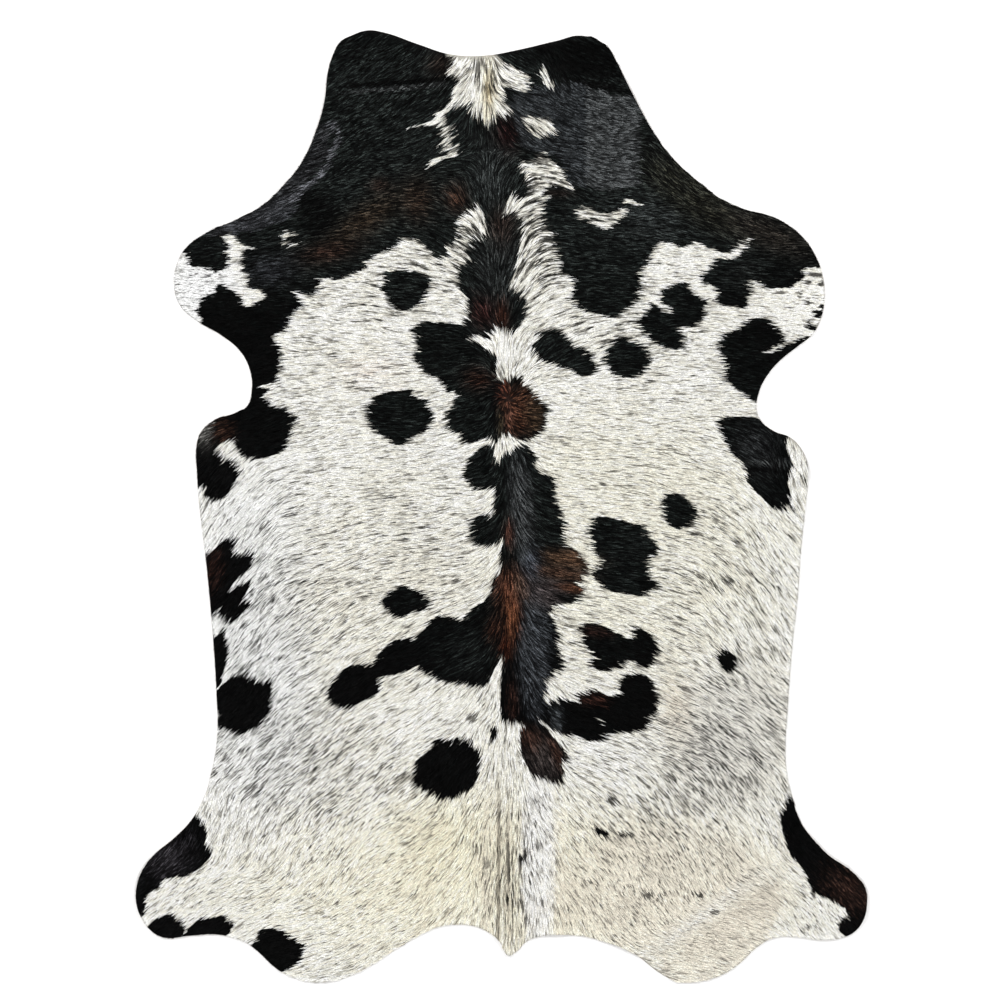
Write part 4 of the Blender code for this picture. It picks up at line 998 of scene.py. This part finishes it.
# Locks that stand in their neighbours' shade draw dark strokes in the white: their share
Stroke = namedtuple("Stroke", "name x y reach_x reach_y share")
STROKES = [Stroke(*row) for row in (
    ("mane's white band", 9, 62, 6, 15, 0.56), ("tuft", -4, 94, 12, 12, 0.27),
    ("patches of the right neck", 10, 84, 7, 9, 0.3), ("crescent", 23, 67, 8, 5, 0.3),
    ("left shoulder", -22, 52, 18, 9, 0.2), ("right shoulder", 30, 42, 14, 9, 0.2),
    ("left side", -48, -25, 20, 20, 0.1), ("left flank", -52, -62, 14, 12, 0.11),
    ("right flank", 50, -55, 18, 16, 0.13), ("right side", 52, -15, 14, 20, 0.08),
    ("left rump", -34, -90, 28, 16, -0.11), ("tail", 3, -88, 6, 14, 0.3),
    ("right rump", 36, -92, 26, 16, -0.12), ("beyond the crease", 52, -98, 9, 7, -0.06),
    ("left white thread", -13, 84, 4, 6, 0.3), ("left centre", -18, -8, 14, 14, 0.07),
    ("bay of the mane", -8, 60, 5, 8, 0.38), ("left hind leg", -72, -92, 9, 6, -0.04),
    ("right hind leg", 72, -96, 9, 5, -0.04), ("left foreleg", -70, 52, 8, 8, -0.1),
    ("right foreleg", 68, 48, 9, 8, -0.08),
)]
EVEN_STROKES = 0.17
LEAST_STROKES = 0.03

dice = np.random.default_rng(7)


def hair_group():
    """Single hairs in a lock: fine streaks along it, as a shade, a roughness and a height."""
    group, given, result = new_group(
        "Hairs in a lock",
        {"Dullest": "Float", "Brightest": "Float", "Colour": "Color"},
        {"Colour": "Color", "Roughness": "Float", "Height": "Float"},
    )
    along = add_node(group, "UVMap", {}, uv_map="along_hair")["UV"]
    stretched = add_node(group, "Mapping", {"Vector": along, "Scale": (3.5, 6.0, 1.0)})["Vector"]
    hairs = add_node(group, "TexNoise", {"Vector": stretched, "Scale": 1.0, "Detail": 3.0})["Fac"]
    shade = add_node(group, "MapRange", {
        "Value": hairs, "From Min": 0.37, "From Max": 0.63,
        "To Min": given["Dullest"], "To Max": given["Brightest"],
    })["Result"]
    shaded = add_node(
        group, "VectorMath", {0: given["Colour"], "Scale": shade}, operation="SCALE"
    )["Vector"]
    rough = add_node(group, "MapRange", {"Value": hairs, "To Min": 0.62, "To Max": 0.42})["Result"]
    feed(result, {"Colour": shaded, "Roughness": rough, "Height": hairs})
    return group


def coat_material(name, gloss, dullest, brightest):
    """Short glossy hair in the colour that each lock carries."""
    material, tree, shader = new_material(name, {"Specular IOR Level": gloss})
    colour = add_node(tree, "Attribute", {}, attribute_name="coat_colour")["Color"]
    hairs = add_node(tree, "Group", {
        "Colour": colour, "Dullest": dullest, "Brightest": brightest,
    }, node_tree=hair_group())
    relief = add_node(tree, "Bump", {
        "Strength": 0.35, "Distance": 0.0003, "Height": hairs["Height"],
    })
    feed(shader, {
        "Base Color": hairs["Colour"], "Roughness": hairs["Roughness"], "Normal": relief["Normal"],
    })
    return material


def root_places():
    """Even rows of roots over the whole hide, each moved a little at random."""
    across = np.arange(hide_low[0], hide_high[0], LOCK_SPACING)
    along = np.arange(hide_low[1], hide_high[1], LOCK_SPACING)
    x, y = (axis.ravel() for axis in np.meshgrid(across, along))
    x = x + dice.uniform(-0.5, 0.5, x.size) * LOCK_SPACING
    y = y + dice.uniform(-0.5, 0.5, y.size) * LOCK_SPACING
    kept = inside(x, y, cut_line)
    return x[kept], y[kept]


# How locks differ: in heading, by so many degrees; in length and in width, by these factors;
# and by how far one side rolls up over the other
STRAY = 7.0
LENGTHS = (0.75, 1.25)
WIDTHS = (0.65, 1.25)
ROLL = 0.0005
# How closely the outer part of a lock follows the hair that it lies on
FOLLOWING = 0.7
# A lock that crosses the rim with this share of its length moves back, in so many steps at
# most, each this share of its length
RIM_REACH = 0.9
RIM_STEPS = 4
RIM_STEP = 0.22


def lay_locks(x, y):
    """The four corners of each lock: root, left side, right side and tip, and its heading."""
    count = x.size
    face_x, face_y = heading(x / CENTIMETRE, y / CENTIMETRE)
    face_x, face_y = turned(face_x, face_y, np.radians(dice.normal(0.0, STRAY, count)))
    length = LOCK_LENGTH * dice.uniform(*LENGTHS, count)
    for growth in GROWTHS:
        length *= 1.0 + (growth.times - 1.0) * spot(x / CENTIMETRE, y / CENTIMETRE, growth)
    width = LOCK_WIDTH * dice.uniform(*WIDTHS, count)
    width *= np.sqrt(LOCK_LENGTH / np.maximum(length, 0.5 * LOCK_LENGTH))
    for _ in range(RIM_STEPS):
        outer_x, outer_y = x + face_x * length * RIM_REACH, y + face_y * length * RIM_REACH
        step = RIM_STEP * length * ~inside(outer_x, outer_y, cut_line)
        x, y = x - step * face_x, y - step * face_y
    middle_x, middle_y = x + face_x * length * WIDEST_AT, y + face_y * length * WIDEST_AT
    bend_x, bend_y = heading(middle_x / CENTIMETRE, middle_y / CENTIMETRE)
    bend_x, bend_y = face_x + FOLLOWING * (bend_x - face_x), face_y + FOLLOWING * (bend_y - face_y)
    outer = length * (1.0 - WIDEST_AT)
    side_x, side_y = -face_y * width / 2, face_x * width / 2
    across = (x, middle_x + side_x, middle_x - side_x, middle_x + bend_x * outer)
    along = (y, middle_y + side_y, middle_y - side_y, middle_y + bend_y * outer)
    across, along = np.stack(across, axis=1), np.stack(along, axis=1)
    corners = np.stack((across, along, lift(across, along) + LEATHER_THICKNESS), axis=2)
    roll = dice.normal(0.0, ROLL, count)
    corners[:, 0, 2] += dice.uniform(*ROOT_HEIGHTS, count)
    corners[:, 1, 2] += SIDE_HEIGHT + np.abs(roll) + roll
    corners[:, 2, 2] += SIDE_HEIGHT + np.abs(roll) - roll
    corners[:, 3, 2] += dice.uniform(*TIP_HEIGHTS, count)
    return corners, face_x, face_y, length


# Streaks drawn out along the hair, in centimetres on a lock of the usual length: how wide and
# how long they are, how loosely they are drawn, and the seed of their cloud
Streaks = namedtuple("Streaks", "width reach loose seed")
TONGUES = Streaks(0.25, 0.8, 0.0, 31)
CHANCES = Streaks(0.2, 0.4, 1.2, 61)
SHADOWS = Streaks(0.5, 1.4, 0.0, 51)
STRANDS = Streaks(0.19, 0.9, 0.0, 71)
WIDE_STRANDS = Streaks(0.32, 1.3, 0.0, 72)
STREAK_STEPS = 7


def combed(x, y, face_x, face_y, grown, streaks):
    """Random streaks drawn out along the hair, spread evenly from 0 to 1."""
    total = np.zeros(x.size)
    reach = streaks.reach * grown
    for step in np.linspace(-1.0, 1.0, STREAK_STEPS):
        ahead_x, ahead_y = x + step * reach * face_x, y + step * reach * face_y
        total += cloud(ahead_x, ahead_y, streaks.width, streaks.seed)
    total += streaks.loose * dice.normal(0.0, 1.0, x.size)
    spread = np.empty(x.size)
    spread[np.argsort(total)] = (np.arange(x.size) + 0.5) / x.size
    return spread


# The white locks' shadows: how bright the deepest is where strokes are few, how much less so
# where they are many, and its limits; how bright a shadow is at its rim; and how much sooner
# it deepens from there where it is wide. The lit locks: how bright they are, and how much
# that differs by strand, by lock, and in broad soft patches
SHADOW_DEPTH = 0.45
SHADOW_DEEPER = 1.6
SHADOW_LIMITS = (0.015, 0.4)
SHADOW_RIM = 0.8
SHADOW_SHARPER = 5.0
SHARPER_FROM = 0.3
LIT = 0.88
LIT_BY_STRAND = 0.18
LIT_BY_LOCK = 0.09
LIT_BY_PATCH = 0.05
PATCH_SIZE = 6.0


def shade_white(x, y, strand, shadowed):
    """How bright each white lock is: the ones in the shade draw dark strokes."""
    deepest = np.clip(SHADOW_DEPTH - SHADOW_DEEPER * shadowed, *SHADOW_LIMITS)
    sharp = 1.0 + SHADOW_SHARPER * (shadowed - SHARPER_FROM).clip(0.0)
    rise = np.clip(strand / shadowed, 0.0, 1.0) ** sharp
    in_shade = deepest + (SHADOW_RIM - deepest) * rise
    in_light = LIT + LIT_BY_STRAND * (strand - shadowed)
    bright = np.where(strand < shadowed, in_shade, in_light)
    bright *= dice.normal(1.0, LIT_BY_LOCK, x.size)
    return bright * (1.0 + LIT_BY_PATCH * cloud(x, y, PATCH_SIZE, PALENESS_SEED))


# The black locks' glints: how much they differ by strand, less what is taken off them all,
# and how much by lock; the brightest that one may be on grey or brown, and how much more on
# black; the share of all this on grey or brown, and how much more on black; and how little
# light black sends back
GLINT_BY_STRAND = 2.1
GLINT_LESS = 1.7
GLINT_BY_LOCK = 1.1
GLINT_LIMIT = 1.7
GLINT_LIMIT_MORE = 3.0
GLINT_SHARE = 0.85
GLINT_SHARE_MORE = 0.15
BLACK_LIGHT = 0.02


def shade_black(colours, strand):
    """How bright each black lock is against its patch: most are dim and a few glint."""
    darkness = np.exp(-colours.mean(axis=1) / BLACK_LIGHT)
    glint = GLINT_BY_STRAND * strand - GLINT_LESS + dice.normal(0.0, GLINT_BY_LOCK, len(strand))
    bright = np.exp((GLINT_SHARE + GLINT_SHARE_MORE * darkness) * glint)
    return np.minimum(bright, GLINT_LIMIT + GLINT_LIMIT_MORE * darkness)


# How far along a lock its colour is picked, as a share of it, and how much that varies
PICKED_AT = 0.63
PICKED_SPREAD = 0.003
# How far the locks of one colour reach over the next, and how much farther where strokes are
# more than this share
TONGUE_LENGTH = 0.9
TONGUE_LONGER = 4.0
LONGER_FROM = 0.25
# How many of the strokes are in shadow, at least and as much more; and the share of strokes
# from which strands are wide
SHADOWED_LEAST = 0.45
SHADOWED_MORE = 1.1
WIDE_FROM = 0.34
# How much higher the dark locks in the white lie, and the black ones
GREY_RISE = 0.0006
BLACK_RISE = 0.0004
# The light of each corner of a lock against the lock's own: painted shade at the root, where
# the locks above shade it, and a painted highlight at the tip; and its limits
CORNER_SHADES = np.array((0.5, 0.97, 0.97, 1.06))
DARKEST = 0.0008
LIGHTEST = 0.83


def colour_locks(corners, face_x, face_y, length):
    """Each lock's colour at its four corners, and which locks are black."""
    count = len(length)
    grown = length / LOCK_LENGTH
    picked = PICKED_AT * length + PICKED_SPREAD * dice.normal(0.0, 1.0, count)
    x = (corners[:, 0, 0] + face_x * picked) / CENTIMETRE
    y = (corners[:, 0, 1] + face_y * picked) / CENTIMETRE
    # rough: the share of white locks painted dark, as painted shade between the locks
    rough = np.full(count, EVEN_STROKES)
    for stroke in STROKES:
        rough += stroke.share * spot(x, y, stroke)
    rough = rough.clip(LEAST_STROKES)
    tongue = TONGUE_LENGTH * grown * (1.0 + TONGUE_LONGER * (rough - LONGER_FROM).clip(0.0))
    tongue *= combed(x, y, face_x, face_y, grown, TONGUES) - 0.5
    x, y = x + face_x * tongue, y + face_y * tongue
    chance, shadow, strand, wide_strand = (
        combed(x, y, face_x, face_y, grown, streaks)
        for streaks in (CHANCES, SHADOWS, STRANDS, WIDE_STRANDS)
    )
    colours, black, grey = coat_colour(x, y, chance)
    shadowed = rough * (SHADOWED_LEAST + SHADOWED_MORE * shadow)
    strand = np.where(rough > WIDE_FROM, wide_strand, strand)
    of_white = shade_white(x, y, strand, shadowed)
    of_black = shade_black(colours, strand)
    in_front = np.where(black, 0.0, np.clip(1.0 - of_white, 0.0, 1.0) + grey)
    corners[:, 1:, 2] += (GREY_RISE * in_front.clip(0.0, 1.0) + BLACK_RISE * black)[:, None]
    lit = colours * np.where(black, of_black, of_white)[:, None]
    return np.clip(lit[:, None, :] * CORNER_SHADES[None, :, None], DARKEST, LIGHTEST), black


# A lock's four faces, by its corners; and where each corner is in the lock's own square of
# the flat layout, and along the lock
LOCK_FACES = np.array(((0, 3, 1), (0, 2, 3), (0, 1, 2), (1, 3, 2)))
LOCK_SQUARE = np.array(((0.5, 0.04), (0.04, 0.4), (0.96, 0.4), (0.5, 0.96)))
LOCK_ALONG = np.array(((0.5, 0.0), (0.0, 0.4), (1.0, 0.4), (0.5, 1.0)))
# The noise that draws single hairs is this wide, and each lock is at its own place in it
HAIRS_WIDTH = 90.0


def coat_strip(name, corners, colours, black):
    """One strip of the coat: its locks as a single mesh, with their colours and layouts."""
    count = len(corners)
    locks = np.arange(count)
    faces = (locks[:, None, None] * 4 + LOCK_FACES).reshape(-1, 3)
    mesh = bpy.data.meshes.new(name)
    mesh.vertices.add(count * 4)
    mesh.vertices.foreach_set("co", corners.astype(np.float32).ravel())
    mesh.loops.add(faces.size)
    mesh.loops.foreach_set("vertex_index", faces.ravel().astype(np.int32))
    mesh.polygons.add(len(faces))
    mesh.polygons.foreach_set("loop_start", np.arange(0, faces.size, 3, dtype=np.int32))
    mesh.update(calc_edges=True)
    mesh.shade_flat()
    paint(mesh, colours.reshape(-1, 3))
    per_row = math.ceil(math.sqrt(count))
    square = np.stack((locks % per_row, locks // per_row), axis=1)
    own_square = (square[:, None, :] + LOCK_SQUARE) / per_row
    along_hair = LOCK_ALONG + dice.uniform(0.0, HAIRS_WIDTH, (count, 1, 2))
    for layer, layout in (("along_hair", along_hair), ("OFBake", own_square)):
        corner_uv = layout[:, LOCK_FACES, :].reshape(-1, 2).astype(np.float32)
        mesh.uv_layers.new(name=layer).data.foreach_set("uv", corner_uv.ravel())
    for material in coat_materials:
        mesh.materials.append(material)
    mesh.polygons.foreach_set("material_index", np.repeat(black, 4).astype(np.int32))
    strip = new_object(name, mesh)
    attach(strip, "root")
    return strip


coat_materials = (
    coat_material("pale hair", 0.06, 0.55, 1.17), coat_material("dark hair", 0.03, 0.1, 2.2),
)
lock_corners, *lock_lies = lay_locks(*root_places())
lock_colours, lock_black = colour_locks(lock_corners, *lock_lies)
left_to_right = np.argsort(lock_corners[:, 0, 0], kind="stable")
for strip_name, chosen in zip(STRIP_NAMES, np.array_split(left_to_right, len(STRIP_NAMES))):
    coat_strip(
        "coat_" + strip_name, lock_corners[chosen], lock_colours[chosen], lock_black[chosen]
    )

# ---- The floor, the light and the camera ------------------------------------------------
# A pale studio floor, three soft lights high on three sides, and a camera that looks
# straight down on the rug, as the photograph does.
FLOOR_SIZE = 14.0
STUDIO_LIGHT = 0.44
VIEW_WIDTH = 2.3
VIEW_MIDDLE = (-0.00345, 0.01495)
LENS = 85.0
SENSOR = 36.0

bm = bmesh.new()
bmesh.ops.create_grid(bm, x_segments=1, y_segments=1, size=FLOOR_SIZE / 2)
floor_mesh = bpy.data.meshes.new("floor")
bm.to_mesh(floor_mesh)
bm.free()
floor = new_object("floor", floor_mesh)
floor_material, _, _ = new_material(
    "pale floor", {"Base Color": (0.66, 0.66, 0.66, 1.0), "Roughness": 0.9}
)
floor_mesh.materials.append(floor_material)

# Each light points at the rug's middle: where it hangs, how wide it is and how strong
StudioLight = namedtuple("StudioLight", "name place size power")
for row in (
    StudioLight("upper left", (-3.0, 2.8, 3.8), 2.2, 276.0),
    StudioLight("upper right", (3.0, 2.6, 3.8), 2.2, 195.0),
    StudioLight("tail end", (0.0, -3.6, 3.6), 2.4, 155.0),
):
    lamp = bpy.data.lights.new(row.name, "AREA")
    lamp.shape = "DISK"
    lamp.size = row.size
    lamp.energy = row.power
    light = new_object(row.name, lamp)
    light.location = row.place
    light.rotation_euler = (-light.location).to_track_quat("-Z", "Y").to_euler()

world = bpy.data.worlds.new("studio")
world.use_nodes = True
feed(world.node_tree.nodes["Background"], {
    "Color": (1.0, 1.0, 1.0, 1.0), "Strength": STUDIO_LIGHT,
})
bpy.context.scene.world = world
bpy.context.scene.view_settings.view_transform = "Standard"

lens = bpy.data.cameras.new("straight above")
lens.lens = LENS
lens.sensor_width = SENSOR
lens.clip_end = 50.0
camera = new_object("straight above", lens)
camera.location = (*VIEW_MIDDLE, VIEW_WIDTH * LENS / SENSOR)
bpy.context.scene.camera = camera
